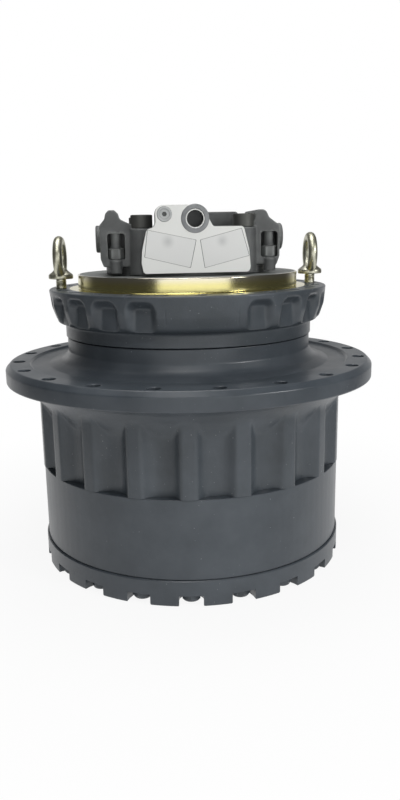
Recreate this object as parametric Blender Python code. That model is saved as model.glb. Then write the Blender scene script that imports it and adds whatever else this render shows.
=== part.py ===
"""Excavator final drive: a hydraulic travel motor with a two-stage planetary reduction in its hub.

It stands on its end cover, as it does on a bench. The main axis is Z and the port face looks
along -Y. The spindle, the motor cover and the second carrier stand still, bolted to the track
frame, and the hub turns round them on two taper roller bearings. The motor's shaft drives the
first sun. The first planets drive the ring gear and carry the first carrier round, which holds
the second sun. The second planets turn on pins in the fixed second carrier and drive the ring.

The origin is on the main axis, at the lowest face of the end cover. Units are metres.
"""

import math

import bmesh
import bpy
from mathutils import Matrix, Vector

# General clearances
SEAT_GAP = 0.0003  # between two pieces that are bolted or pressed together
RUNNING_GAP = 0.0004  # between two pieces that turn on each other
CUT_OVERRUN = 0.004  # how far a cutting shape runs past the face that it opens

# Numbers of sides and copies
TURNED_SIDES = 40
INNER_SIDES = 24
PIN_SIDES = 12
HEX = 6
RIB_COUNT = 20
FRAME_HOLE_COUNT = 24
PLANET_COUNT = 3
RIB_TURN = math.radians(-6.0)  # the ribs' pattern is set round from the port face
PITCH = 2.0 * math.pi / RIB_COUNT

# End cover, which is the foot of the standing part
COVER_WALL = 0.0288  # outside the roots of the ring gear's teeth
COVER_HEIGHT = 0.037
COVER_POCKET_STEPS = 3
COVER_FOOT_WIDTH = 0.040
COVER_FACE_RISE = 0.008
COVER_PLATE = 0.018
COVER_POCKET_STEP = 0.012  # in from the spigot
SPIGOT_CLEARANCE = 0.0032  # inside the tips of the ring gear's teeth
SPIGOT_HEIGHT = 0.0035
SPIGOT_WALL = 0.009

# Cover bolts, M16, which clamp the cover and the ring gear to the hub
BOLT_CIRCLE_INSET = 0.016  # from the cover's rim
BOLT_RADIUS = 0.008
BOLT_HEAD_CORNER_RADIUS = 0.0138
BOLT_HEAD_HEIGHT = 0.010
BOLT_SEAT_HEIGHT = 0.0155
BOLT_THREAD_LENGTH = 0.030
BOLT_HOLE_CLEARANCE = 0.0006
BOLT_HOLE_SPARE = 0.004
SCALLOP_RADIUS = 0.0165

# Gears: one module, and pressure angle, for both stages
MODULE = 0.008
PRESSURE_ANGLE = math.radians(20.0)
ADDENDUM_SHARE = 0.85
DEDENDUM_SHARE = 1.15
BACKLASH = 0.0004
RING_FLANK_RELIEF = 0.0003  # the ring gear's flanks are straight here, so they stand back a little
RING_TEETH = 48
FIRST_SUN_TEETH = 12
FIRST_PLANET_TEETH = 18
SECOND_SUN_TEETH = 18
SECOND_PLANET_TEETH = 15
RING_GEAR_INSET = 0.0028  # from the cover's rim
RING_GEAR_HEIGHT = 0.1117
FIRST_GEAR_LIFT = 0.0015  # above the cover's spigot
FIRST_GEAR_WIDTH = 0.034
STAGE_GAP = 0.0042
SECOND_GEAR_WIDTH = 0.042
SUN_SHORTER = 0.001

# Carriers and planet pins
PIN_RADIUS = 0.020
PIN_END_RISE = 0.002
FIRST_PLATE = 0.0155
FIRST_PLATE_RADIUS = 0.121
FIRST_PLATE_LOBE = 0.024
FIRST_PIN_ROOT = 0.002  # how far a pin reaches into the plate that it is one piece with
SUN_STUB_RADIUS = 0.050
SUN_BORE_GAP = 0.002
SECOND_PLATE = 0.0195
SECOND_PLATE_CLEARANCE = 0.014  # inside the hub's cavity
SECOND_NECK_RADIUS = 0.0946
SECOND_NECK_SEAT = 0.0268  # how far the neck goes into the spindle
SECOND_BORE_RADIUS = 0.040

# Input shaft and the thrust pad that it stands on
SHAFT_RADIUS = 0.024
SHAFT_FOOT_RADIUS = 0.020
SHAFT_REACH = 0.092  # into the spindle
SHAFT_SOCKET_SPARE = 0.004
PAD_RADIUS = 0.030
PAD_HEIGHT = 0.0107
PAD_RECESS = 0.003

# Bearings between the hub and the spindle
BEARING_HOUSING_STEP = 0.011  # in from the hub's cavity
BEARING_SECTION = 0.035
BEARING_WIDTH = 0.032
BEARING_NARROW_STEP = 0.019  # out from the spindle's seat
BEARING_WIDE_STEP = 0.026
NOSE_CLEARANCE = 0.0082  # above the second carrier's plate
UPPER_BEARING_DROP = 0.002  # below the seal pocket
HUB_SHOULDER_STEP = 0.009  # in from the bearing's outside
NUT_WALL = 0.020
NUT_NOTCH_DEPTH = 0.006
NUT_NOTCH_COUNT = 6
NUT_NOTCH_HALF_ANGLE = math.radians(4.0)
NUT_LAND_STEPS = 3
NUT_HEIGHT = 0.0195
NOSE_STEP = 0.003
NOSE_LENGTH = 0.024
UPPER_SHOULDER_STEP = 0.016

# Hub: ribbed barrel, sprocket flange and seal neck
RIB_INSET = 0.001  # from the cover's rim
RIB_SCALLOP_DEPTH = 0.014
RIB_SCALLOP_HALF_WIDTH = 0.024
FLARE_HEIGHT = 0.0485  # of the cone under the flange that the scallops run into
FLARE_OVERHANG = 0.019
FLARE_ROW_SHARES = (0.0, 0.5, 1.0)
HUB_WALL = 0.053  # from the ribs' tops to the cavity
HUB_CAVITY_CONE = 0.006
FLANGE_OVERHANG = 0.046  # past the ribs
RIB_LENGTH = 0.1262
FLANGE_THICKNESS = 0.0268
FLANGE_CHAMFER = 0.0077
FLANGE_LAND_WIDTH = 0.035
FLANGE_LAND_DROP = 0.003
NECK_WALL = 0.0082
NECK_HEIGHT = 0.0357
NECK_FILLET_WIDTH = 0.0228
NECK_FILLET_HEIGHT = 0.006
NECK_FILLET_TOP = 0.018
SPROCKET_HOLE_MARGIN = 0.0195  # from the flange's rim
SPROCKET_HOLE_RADIUS = 0.009
SPROCKET_HOLE_SIDES = 8

# Floating seal between the hub's neck and the spindle
SEAL_POCKET_STEP = 0.009  # out from the bearing's bore
SEAL_POCKET_DEPTH = 0.018
SEAL_SHOULDER_CLEARANCE = 0.006
SEAL_POCKET_CLEARANCE = 0.0015
SEAL_FACE_DROP = 0.007
SEAL_GROOVE_DEPTH = 0.0065
SEAL_TAPER = 0.008

# Spindle: the part that bolts to the track frame
LABYRINTH_GAP = 0.0015
COLLAR_OVERHANG = 0.0018  # past the hub's neck
COLLAR_HEIGHT = 0.0105
FRAME_FLANGE_OVERHANG = 0.0217  # past the collar
FRAME_FLANGE_RIM = 0.0344
FRAME_FLANGE_EDGE = 0.002
FRAME_FLANGE_CURVE = 0.024
FRAME_HOLE_MARGIN = 0.0177  # from the frame flange's rim
FRAME_HOLE_RADIUS = 0.0084
FRAME_HOLE_DEPTH = 0.034
POCKET_DEPTH = 0.0123
POCKET_WIDTH = 0.031
POCKET_CORNER = 0.006
POCKET_ROOF_DROP = 0.0105
POCKET_FOOT_RISE = 0.006
PILOT_STEP = 0.025  # in from the circle of the frame holes
PILOT_HEIGHT = 0.0201

# Eye bolts, M16
EYE_SHANK_RADIUS = 0.008
EYE_COLLAR_RADIUS = 0.018
EYE_COLLAR_LIFT = 0.0136
EYE_COLLAR_HEIGHT = 0.009
EYE_COLLAR_TOP_RADIUS = 0.011
EYE_RING_RADIUS = 0.0245
EYE_BAR_RADIUS = 0.007
EYE_RING_SUNK = 0.010
EYE_THREAD_LENGTH = 0.028
EYE_TURN = math.radians(-4.0)
EYE_RING_SIDES = 16
EYE_BAR_SIDES = 6

# Motor cover: a casting with the port face, two valve housings and four screw bosses
MOTOR_CENTRE = 0.0015
MOTOR_BASE_RADIUS = 0.122
MOTOR_BASE_HEIGHT = 0.0172
PORT_FACE_DISTANCE = 0.125
PORT_FACE_DEPTH = 0.0275
PORT_FACE_RISE = 0.0039
PORT_FACE_SWELL = 0.0107  # past the shoulders, on each side
PORT_FACE_CORNER = 0.007
PORT_FACE_WAIST = 0.0165
PORT_FACE_EDGE = 0.0015
SHOULDER_RISE = 0.0045  # above the body
SHOULDER_STEP = 0.0092  # past the lobe
LOBE_WALL = 0.0119  # above the plug's centre
LOBE_BACK = 0.050
BODY_STEP = 0.028  # past the port face's shoulders
BODY_HEIGHT = 0.042
BODY_BACK = 0.078
BODY_FRONT = 0.072
CORE_INSET = 0.004
PLUG_TO_DRAIN = 0.0406
PLUG_RISE = 0.0173  # above the shoulders
PLUG_BOSS_RADIUS = 0.0122
PLUG_RADIUS = 0.0098
PLUG_DEPTH = 0.012
PLUG_PROUD = 0.001
PLUG_SOCKET_RADIUS = 0.0035
DRAIN_X = 0.0004
DRAIN_RISE = 0.0111  # above the shoulders
DRAIN_BOSS_RADIUS = 0.0190
DRAIN_BOSS_PROUD = 0.001
DRAIN_BORE_RADIUS = 0.0115
DRAIN_BORE_DEPTH = 0.020
PORT_X = 0.036
PORT_RISE = 0.024
PORT_RADIUS = 0.0125
PORT_DEPTH = 0.022
PORT_SIDES = 10

SCREW_INSET = 0.0195  # from the body's side
SCREW_FRONT = 0.080
SCREW_BACK = 0.072
SCREW_RADIUS = 0.010
SCREW_HEAD_RADIUS = 0.015
SCREW_HEAD_HEIGHT = 0.0175
SCREW_SOCKET_RADIUS = 0.0098
SCREW_SOCKET_DEPTH = 0.010
SCREW_THREAD_LENGTH = 0.030
BOSS_RADIUS = 0.0175
BOSS_RISE = 0.0045  # above the body

HOUSING_OVERLAP = 0.004  # into the body
HOUSING_WIDTH = 0.0405
HOUSING_FRONT = 0.088
HOUSING_BACK = 0.018
HOUSING_RISE = 0.0105  # above the body
HOUSING_EAR_HEIGHT = 0.018
HOUSING_EAR_INNER_STEP = 0.010
HOUSING_EAR_OUTER_STEP = 0.0145
HOUSING_FOOT_INSET = 0.006
RELIEF_POCKET_HEIGHT = 0.0365
RELIEF_POCKET_RISE = 0.004
RELIEF_POCKET_DEPTH = 0.024
RELIEF_POCKET_INNER_WALL = 0.0065
RELIEF_POCKET_OUTER_WALL = 0.005
RELIEF_SETBACK = 0.0117
RELIEF_STEM_RADIUS = 0.0068
RELIEF_HEX_RADIUS = 0.0118
RELIEF_HEX_HEIGHT = 0.0165

SPOOL_Y = -0.028
SPOOL_RISE = 0.0325  # above the cover's base
SPOOL_RADIUS = 0.0120
SPOOL_WAIST_RADIUS = 0.008
SPOOL_LAND = 0.030
SPOOL_TRAVEL = 0.005
SPOOL_SIDES = 12
SPOOL_WALL = 0.0032  # of the cast barrel round the spool's bore
CAP_RADIUS = 0.0190
CAP_THICKNESS = 0.008
CAP_EDGE = 0.002

REAR_BLOCK_INNER_X = 0.020
REAR_BLOCK_OUTER_X = 0.084
REAR_BLOCK_FRONT = 0.006
REAR_BLOCK_BACK = 0.052
REAR_BLOCK_RISE = 0.028  # above the body
REAR_BLOCK_EDGE = 0.008

# Oil plugs in the end cover
OIL_PLUG_CIRCLE_RADIUS = 0.118
OIL_PLUG_RADIUS = 0.015
OIL_PLUG_HEAD_RADIUS = 0.021
OIL_PLUG_HEAD_HEIGHT = 0.0055
OIL_PLUG_SOCKET_RADIUS = 0.0081
OIL_PLUG_SOCKET_DEPTH = 0.012

# Worked out from the sizes above: radii, from the ring gear's teeth outwards, and inwards
# from the hub's cavity
FIRST_CENTRES = MODULE * (FIRST_SUN_TEETH + FIRST_PLANET_TEETH) / 2.0
SECOND_CENTRES = MODULE * (SECOND_SUN_TEETH + SECOND_PLANET_TEETH) / 2.0
RING_TIP_RADIUS = MODULE * (RING_TEETH / 2.0 - ADDENDUM_SHARE)
RING_ROOT_RADIUS = MODULE * (RING_TEETH / 2.0 + DEDENDUM_SHARE)
COVER_RADIUS = RING_ROOT_RADIUS + COVER_WALL
COVER_FOOT_INNER_RADIUS = COVER_RADIUS - COVER_FOOT_WIDTH
SPIGOT_RADIUS = RING_TIP_RADIUS - SPIGOT_CLEARANCE
COVER_POCKET_RADIUS = SPIGOT_RADIUS - COVER_POCKET_STEP
BOLT_CIRCLE_RADIUS = COVER_RADIUS - BOLT_CIRCLE_INSET
RING_GEAR_RADIUS = COVER_RADIUS - RING_GEAR_INSET
RIB_RADIUS = COVER_RADIUS - RIB_INSET
SCALLOP_VALLEY_RADIUS = RIB_RADIUS - RIB_SCALLOP_DEPTH
FLARE_RADIUS = RIB_RADIUS + FLARE_OVERHANG
HUB_CAVITY_RADIUS = RIB_RADIUS - HUB_WALL
SECOND_PLATE_RADIUS = HUB_CAVITY_RADIUS - SECOND_PLATE_CLEARANCE
FLANGE_RADIUS = RIB_RADIUS + FLANGE_OVERHANG
FLANGE_LAND_RADIUS = FLANGE_RADIUS - FLANGE_LAND_WIDTH
SPROCKET_HOLE_CIRCLE_RADIUS = FLANGE_RADIUS - SPROCKET_HOLE_MARGIN
BEARING_OUTER_RADIUS = HUB_CAVITY_RADIUS - BEARING_HOUSING_STEP
HUB_SHOULDER_RADIUS = BEARING_OUTER_RADIUS - HUB_SHOULDER_STEP
SPINDLE_SEAT_RADIUS = BEARING_OUTER_RADIUS - BEARING_SECTION
BEARING_NARROW_RADIUS = SPINDLE_SEAT_RADIUS + BEARING_NARROW_STEP
BEARING_WIDE_RADIUS = SPINDLE_SEAT_RADIUS + BEARING_WIDE_STEP
NOSE_RADIUS = SPINDLE_SEAT_RADIUS - NOSE_STEP
NUT_RADIUS = NOSE_RADIUS + NUT_WALL
UPPER_SHOULDER_RADIUS = SPINDLE_SEAT_RADIUS + UPPER_SHOULDER_STEP
SEAL_INNER_RADIUS = UPPER_SHOULDER_RADIUS + SEAL_SHOULDER_CLEARANCE
SEAL_POCKET_RADIUS = BEARING_OUTER_RADIUS + SEAL_POCKET_STEP
SEAL_OUTER_RADIUS = SEAL_POCKET_RADIUS - SEAL_POCKET_CLEARANCE
NECK_RADIUS = SEAL_POCKET_RADIUS + NECK_WALL
NECK_FILLET_RADIUS = NECK_RADIUS + NECK_FILLET_WIDTH
COLLAR_RADIUS = NECK_RADIUS + COLLAR_OVERHANG
FRAME_FLANGE_RADIUS = COLLAR_RADIUS + FRAME_FLANGE_OVERHANG
FRAME_HOLE_CIRCLE_RADIUS = FRAME_FLANGE_RADIUS - FRAME_HOLE_MARGIN
PILOT_RADIUS = FRAME_HOLE_CIRCLE_RADIUS - PILOT_STEP

# Worked out: heights, from the foot up
RING_GEAR_BOTTOM = COVER_HEIGHT + SEAT_GAP
RING_GEAR_TOP = RING_GEAR_BOTTOM + RING_GEAR_HEIGHT
HUB_BOTTOM = RING_GEAR_TOP + SEAT_GAP
FLANGE_BOTTOM = HUB_BOTTOM + RIB_LENGTH
FLARE_BOTTOM = FLANGE_BOTTOM - FLARE_HEIGHT
FLANGE_TOP = FLANGE_BOTTOM + FLANGE_THICKNESS
NECK_TOP = FLANGE_TOP + NECK_HEIGHT
SEAL_POCKET_BOTTOM = NECK_TOP - SEAL_POCKET_DEPTH
SEAL_FACE_HEIGHT = NECK_TOP - SEAL_FACE_DROP
LABYRINTH_HEIGHT = NECK_TOP + LABYRINTH_GAP
SEAL_GROOVE_TOP = LABYRINTH_HEIGHT + SEAL_GROOVE_DEPTH
COLLAR_TOP = LABYRINTH_HEIGHT + COLLAR_HEIGHT
POCKET_BOTTOM = COLLAR_TOP + POCKET_FOOT_RISE
FRAME_FLANGE_CURVE_TOP = COLLAR_TOP + FRAME_FLANGE_CURVE
FRAME_FLANGE_TOP = FRAME_FLANGE_CURVE_TOP + FRAME_FLANGE_RIM
PILOT_TOP = FRAME_FLANGE_TOP + PILOT_HEIGHT
EYE_COLLAR_BOTTOM = FRAME_FLANGE_TOP + EYE_COLLAR_LIFT
UPPER_BEARING_BOTTOM = SEAL_POCKET_BOTTOM - UPPER_BEARING_DROP - BEARING_WIDTH
FIRST_GEAR_BOTTOM = COVER_HEIGHT + SPIGOT_HEIGHT + FIRST_GEAR_LIFT
FIRST_GEAR_TOP = FIRST_GEAR_BOTTOM + FIRST_GEAR_WIDTH
FIRST_PLATE_BOTTOM = FIRST_GEAR_TOP + SEAT_GAP
SECOND_GEAR_BOTTOM = FIRST_PLATE_BOTTOM + FIRST_PLATE + STAGE_GAP
SECOND_GEAR_TOP = SECOND_GEAR_BOTTOM + SECOND_GEAR_WIDTH
SECOND_PLATE_BOTTOM = SECOND_GEAR_TOP + SEAT_GAP
SECOND_PLATE_TOP = SECOND_PLATE_BOTTOM + SECOND_PLATE
NOSE_BOTTOM = SECOND_PLATE_TOP + NOSE_CLEARANCE
LOWER_BEARING_BOTTOM = NOSE_BOTTOM + NOSE_LENGTH
SECOND_NECK_TOP = NOSE_BOTTOM + SECOND_NECK_SEAT
SHAFT_TOP = NOSE_BOTTOM + SHAFT_REACH
COVER_FLOOR = COVER_FACE_RISE + COVER_PLATE
PAD_BOTTOM = COVER_FLOOR - PAD_RECESS + SEAT_GAP
SHAFT_BOTTOM = PAD_BOTTOM + PAD_HEIGHT + SEAT_GAP

# Worked out: the motor cover's levels and sides
MOTOR_BOTTOM = PILOT_TOP + SEAT_GAP
MOTOR_BASE_TOP = MOTOR_BOTTOM + MOTOR_BASE_HEIGHT
BODY_TOP = MOTOR_BASE_TOP + BODY_HEIGHT
BOSS_TOP = BODY_TOP + BOSS_RISE
SHOULDER_HALF_WIDTH = PLUG_TO_DRAIN + PLUG_BOSS_RADIUS + SHOULDER_STEP
PORT_FACE_HALF_WIDTH = SHOULDER_HALF_WIDTH + PORT_FACE_SWELL
CORE_HALF_WIDTH = SHOULDER_HALF_WIDTH - CORE_INSET
BODY_HALF_WIDTH = SHOULDER_HALF_WIDTH + BODY_STEP
PORT_FACE_BOTTOM = MOTOR_BOTTOM + PORT_FACE_RISE
PORT_FACE_BACK = PORT_FACE_DISTANCE - PORT_FACE_DEPTH
SHOULDER_HEIGHT = BODY_TOP + SHOULDER_RISE
PLUG_HEIGHT = SHOULDER_HEIGHT + PLUG_RISE
PLUG_X = DRAIN_X - PLUG_TO_DRAIN
LOBE_TOP = PLUG_HEIGHT + LOBE_WALL
DRAIN_HEIGHT = SHOULDER_HEIGHT + DRAIN_RISE
PORT_HEIGHT = MOTOR_BASE_TOP + PORT_RISE
SPOOL_HEIGHT = MOTOR_BASE_TOP + SPOOL_RISE
HOUSING_INNER_X = BODY_HALF_WIDTH - HOUSING_OVERLAP
HOUSING_OUTER_X = HOUSING_INNER_X + HOUSING_WIDTH
HOUSING_TOP = BODY_TOP + HOUSING_RISE
HOUSING_EAR_TOP = HOUSING_TOP + HOUSING_EAR_HEIGHT
HOUSING_EAR_INNER_X = HOUSING_INNER_X + HOUSING_EAR_INNER_STEP
HOUSING_EAR_OUTER_X = HOUSING_OUTER_X - HOUSING_EAR_OUTER_STEP
RELIEF_POCKET_INNER_X = HOUSING_INNER_X + RELIEF_POCKET_INNER_WALL
RELIEF_POCKET_OUTER_X = HOUSING_OUTER_X - RELIEF_POCKET_OUTER_WALL
RELIEF_X = (RELIEF_POCKET_INNER_X + RELIEF_POCKET_OUTER_X) / 2.0
RELIEF_POCKET_BOTTOM = MOTOR_BASE_TOP + RELIEF_POCKET_RISE
RELIEF_POCKET_TOP = RELIEF_POCKET_BOTTOM + RELIEF_POCKET_HEIGHT
REAR_BLOCK_TOP = BODY_TOP + REAR_BLOCK_RISE
SCREW_X = BODY_HALF_WIDTH - SCREW_INSET
SCREW_PLACES = (
    (MOTOR_CENTRE - SCREW_X, -SCREW_FRONT),
    (MOTOR_CENTRE + SCREW_X, -SCREW_FRONT),
    (MOTOR_CENTRE + SCREW_X, SCREW_BACK),
    (MOTOR_CENTRE - SCREW_X, SCREW_BACK),
)


def clear_scene():
    for old in list(bpy.data.objects):
        bpy.data.objects.remove(old, do_unlink=True)


def make_material(name, colour, roughness, metallic):
    material = bpy.data.materials.new(name)
    material.use_nodes = True
    shader = material.node_tree.nodes["Principled BSDF"]
    shader.inputs["Base Color"].default_value = (*colour, 1.0)
    shader.inputs["Roughness"].default_value = roughness
    shader.inputs["Metallic"].default_value = metallic
    material.diffuse_color = (*colour, 1.0)
    return material


def make_object(bm, name, material):
    """Turn a finished bmesh into an object with outward faces, smooth where it is round."""
    bmesh.ops.recalc_face_normals(bm, faces=bm.faces)
    mesh = bpy.data.meshes.new(name)
    bm.to_mesh(mesh)
    bm.free()
    mesh.shade_smooth()
    mesh.set_sharp_from_angle(angle=math.radians(35.0))
    if material is not None:
        mesh.materials.append(material)
    piece = bpy.data.objects.new(name, mesh)
    bpy.context.scene.collection.objects.link(piece)
    return piece


def circle(radius, height, sides=TURNED_SIDES, turn=0.0, centre=(0.0, 0.0)):
    """The points of one regular ring, as (angle, place)."""
    points = []
    for step in range(sides):
        angle = turn + 2.0 * math.pi * step / sides
        place = Vector((
            centre[0] + radius * math.cos(angle),
            centre[1] + radius * math.sin(angle),
            height,
        ))
        points.append((angle, place))
    return points


def outline_ring(outline, height, centre=(0.0, 0.0)):
    """A ring from polar points (angle, radius) that go round once, by growing angle."""
    points = []
    for angle, radius in outline:
        place = Vector((
            centre[0] + radius * math.cos(angle),
            centre[1] + radius * math.sin(angle),
            height,
        ))
        points.append((angle, place))
    return points


def fill_flat(bm, first, second):
    """Fill the flat face between two rings of one height, one inside the other."""
    edges = []
    for ring in (first, second):
        for step in range(len(ring)):
            verts = (ring[step - 1][1], ring[step][1])
            edges.append(bm.edges.get(verts) or bm.edges.new(verts))
    bmesh.ops.triangle_fill(bm, use_beauty=True, edges=edges, normal=(0.0, 0.0, 1.0))


def bridge(bm, lower, upper):
    """Close the band between two rings, which may have different numbers of points."""
    if len(lower) == len(upper):
        for step in range(len(lower)):
            following = (step + 1) % len(lower)
            bm.faces.new((
                lower[step][1], lower[following][1], upper[following][1], upper[step][1]
            ))
        return
    if lower[0][1].co.z == upper[0][1].co.z:
        fill_flat(bm, lower, upper)
        return
    start = lower[0][0]
    turns = [angle - start for angle, _ in upper]
    first = min(range(len(upper)), key=lambda at: abs(math.remainder(turns[at], 2.0 * math.pi)))
    upper = upper[first:] + upper[:first]

    def angle_at(ring, at):
        base = math.remainder(ring[0][0] - start, 2.0 * math.pi)
        step = (ring[at % len(ring)][0] - ring[0][0]) % (2.0 * math.pi)
        return base + step + 2.0 * math.pi * (at // len(ring))

    a, b = 0, 0
    while a < len(lower) or b < len(upper):
        lower_here, upper_here = lower[a % len(lower)][1], upper[b % len(upper)][1]
        step_lower = b >= len(upper) or (
            a < len(lower) and angle_at(lower, a + 1) <= angle_at(upper, b + 1)
        )
        if step_lower:
            a += 1
            bm.faces.new((lower_here, lower[a % len(lower)][1], upper_here))
        else:
            b += 1
            bm.faces.new((lower_here, upper[b % len(upper)][1], upper_here))


def stack(bm, rings, closed=False):
    """Skin a list of rings. A closed stack is a ring-shaped body, an open one gets two caps."""
    made = [[(angle, bm.verts.new(place)) for angle, place in ring] for ring in rings]
    for lower, upper in zip(made, made[1:]):
        bridge(bm, lower, upper)
    if closed:
        bridge(bm, made[-1], made[0])
    else:
        bm.faces.new([vert for _, vert in made[0]])
        bm.faces.new([vert for _, vert in made[-1]])


def stacked(name, rings, material, closed=False):
    bm = bmesh.new()
    stack(bm, rings, closed)
    return make_object(bm, name, material)


def turned(name, profile, material, sides=TURNED_SIDES, turn=0.0, centre=(0.0, 0.0), closed=False):
    """A turned solid from (radius, height) points."""
    rings = [circle(radius, height, sides, turn, centre) for radius, height in profile]
    return stacked(name, rings, material, closed)


def prism(name, outline, start, end, axis, material=None):
    """Extrude a flat outline along X, Y or Z. The outline's points are in the other two axes."""
    bm = bmesh.new()
    ends = []
    for reach in (start, end):
        verts = []
        for first, second in outline:
            place = [first, second]
            place.insert("XYZ".index(axis), reach)
            verts.append(bm.verts.new(place))
        ends.append(verts)
    count = len(outline)
    for step in range(count):
        following = (step + 1) % count
        bm.faces.new((ends[0][step], ends[0][following], ends[1][following], ends[1][step]))
    bm.faces.new(ends[0])
    bm.faces.new(ends[1])
    return make_object(bm, name, material)


def box_outline(first_low, first_high, second_low, second_high):
    return [
        (first_low, second_low), (first_high, second_low),
        (first_high, second_high), (first_low, second_high),
    ]


def round_outline(centre, radius, sides, turn=0.0):
    points = []
    for step in range(sides):
        angle = turn + 2.0 * math.pi * step / sides
        points.append((centre[0] + radius * math.cos(angle), centre[1] + radius * math.sin(angle)))
    return points


def combine(target, tools, operation):
    """Apply one exact Boolean for each tool, and remove the tools."""
    for tool in tools:
        modifier = target.modifiers.new("cut", "BOOLEAN")
        modifier.object = tool
        modifier.operation = operation
        modifier.solver = "EXACT"
        tool.hide_render = True
        tool.display_type = "WIRE"
    graph = bpy.context.evaluated_depsgraph_get()
    finished = bpy.data.meshes.new_from_object(target.evaluated_get(graph))
    target.modifiers.clear()
    target.data = finished
    for tool in tools:
        bpy.data.objects.remove(tool, do_unlink=True)


def joined_tool(name, shapes):
    """Join cutting shapes that do not touch each other into one object, so one Boolean cuts all."""
    bm = bmesh.new()
    for shape in shapes:
        bm.from_mesh(shape.data)
        bpy.data.objects.remove(shape, do_unlink=True)
    return make_object(bm, name, None)


def polar(radius, angle):
    return (radius * math.cos(angle), radius * math.sin(angle))


def rib_angle(index):
    """Rib and bolt azimuth, counted from the port side (-Y) towards +X."""
    return -math.pi / 2.0 + RIB_TURN + PITCH * index


def bore(shaft_radius, sides, gap=RUNNING_GAP):
    """Corner radius of a faceted bore whose flats clear a turning shaft by the gap."""
    return (shaft_radius + gap) / math.cos(math.pi / sides)


# Gears

def involute(angle):
    return math.tan(angle) - angle


def tooth_half_angle(teeth, radius):
    """Half the angle of an external involute tooth at a radius, below the base circle constant."""
    pitch_radius = MODULE * teeth / 2.0
    base_radius = pitch_radius * math.cos(PRESSURE_ANGLE)
    slope = math.acos(min(1.0, base_radius / max(radius, base_radius)))
    thickness = math.pi / (2.0 * teeth) - BACKLASH / (2.0 * pitch_radius)
    return thickness + involute(PRESSURE_ANGLE) - involute(slope)


def gear_outline(teeth, turn):
    """External gear: root, pitch and tip points on both flanks, with a tooth at the turn angle."""
    pitch_radius = MODULE * teeth / 2.0
    root_radius = pitch_radius - DEDENDUM_SHARE * MODULE
    tip_radius = pitch_radius + ADDENDUM_SHARE * MODULE
    outline = []
    for tooth in range(teeth):
        middle = turn + 2.0 * math.pi * tooth / teeth
        for side, radii in ((-1.0, (root_radius, pitch_radius, tip_radius)),
                            (1.0, (tip_radius, pitch_radius, root_radius))):
            for radius in radii:
                outline.append((middle + side * tooth_half_angle(teeth, radius), radius))
    return outline


def ring_outline(teeth):
    """Internal gear with a tooth space at angle zero. The space is the form of an outer tooth."""
    pitch_radius = MODULE * teeth / 2.0
    tip_radius = pitch_radius - ADDENDUM_SHARE * MODULE
    root_radius = pitch_radius + DEDENDUM_SHARE * MODULE
    widening = (BACKLASH + RING_FLANK_RELIEF) / pitch_radius
    outline = []
    for space in range(teeth):
        middle = 2.0 * math.pi * space / teeth
        tip_half = tooth_half_angle(teeth, tip_radius) + widening
        root_half = tooth_half_angle(teeth, root_radius) + widening
        outline += [
            (middle - tip_half, tip_radius), (middle - root_half, root_radius),
            (middle + root_half, root_radius), (middle + tip_half, tip_radius),
        ]
    return outline


def planet_azimuth(index):
    return 2.0 * math.pi * index / PLANET_COUNT + math.pi / 2.0


def planet_turn(teeth, azimuth):
    """Turn that puts a planet's tooth into the ring gear's space on the planet's side."""
    spaces = RING_TEETH * azimuth / (2.0 * math.pi)
    return azimuth - (spaces - math.floor(spaces)) * 2.0 * math.pi / teeth


def sun_turn(sun_teeth, planet_teeth):
    """Turn that meshes a sun with the first planet, and so with all of them."""
    azimuth = planet_azimuth(0)
    tooth = planet_turn(planet_teeth, azimuth)
    behind = azimuth + math.pi - tooth
    off_space = (behind / (2.0 * math.pi / planet_teeth)) % 1.0
    return azimuth + (off_space - 0.5) * 2.0 * math.pi / sun_teeth


def planet(name, teeth, centres, azimuth, bottom, width, material):
    centre = polar(centres, azimuth)
    outline = gear_outline(teeth, planet_turn(teeth, azimuth))
    bore_radius = bore(PIN_RADIUS, PIN_SIDES)
    rings = [
        circle(bore_radius, bottom, PIN_SIDES, azimuth, centre),
        outline_ring(outline, bottom, centre),
        outline_ring(outline, bottom + width, centre),
        circle(bore_radius, bottom + width, PIN_SIDES, azimuth, centre),
    ]
    piece = stacked(name, rings, material, closed=True)
    piece.data.transform(Matrix.Translation((-centre[0], -centre[1], 0.0)))
    piece.location = (centre[0], centre[1], 0.0)
    return piece


def make_ring_gear(material):
    teeth = ring_outline(RING_TEETH)
    rings = [
        outline_ring(teeth, RING_GEAR_BOTTOM),
        circle(RING_GEAR_RADIUS, RING_GEAR_BOTTOM),
        circle(RING_GEAR_RADIUS, RING_GEAR_TOP),
        outline_ring(teeth, RING_GEAR_TOP),
    ]
    gear = stacked("ring_gear", rings, material, closed=True)
    low, high = RING_GEAR_BOTTOM - CUT_OVERRUN, RING_GEAR_TOP + CUT_OVERRUN
    combine(gear, [bolt_hole_tool(low, high)], "DIFFERENCE")
    return gear


def bolt_hole_tool(low, high):
    """Twenty hexagonal prisms on the bolt circle, parallel to the bolts' shanks."""
    radius = BOLT_RADIUS + BOLT_HOLE_CLEARANCE
    shapes = []
    for index in range(RIB_COUNT):
        angle = rib_angle(index)
        centre = polar(BOLT_CIRCLE_RADIUS, angle)
        shapes.append(prism("hole", round_outline(centre, radius, HEX, angle), low, high, "Z"))
    return joined_tool("bolt_holes", shapes)


# End cover and what it holds

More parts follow.
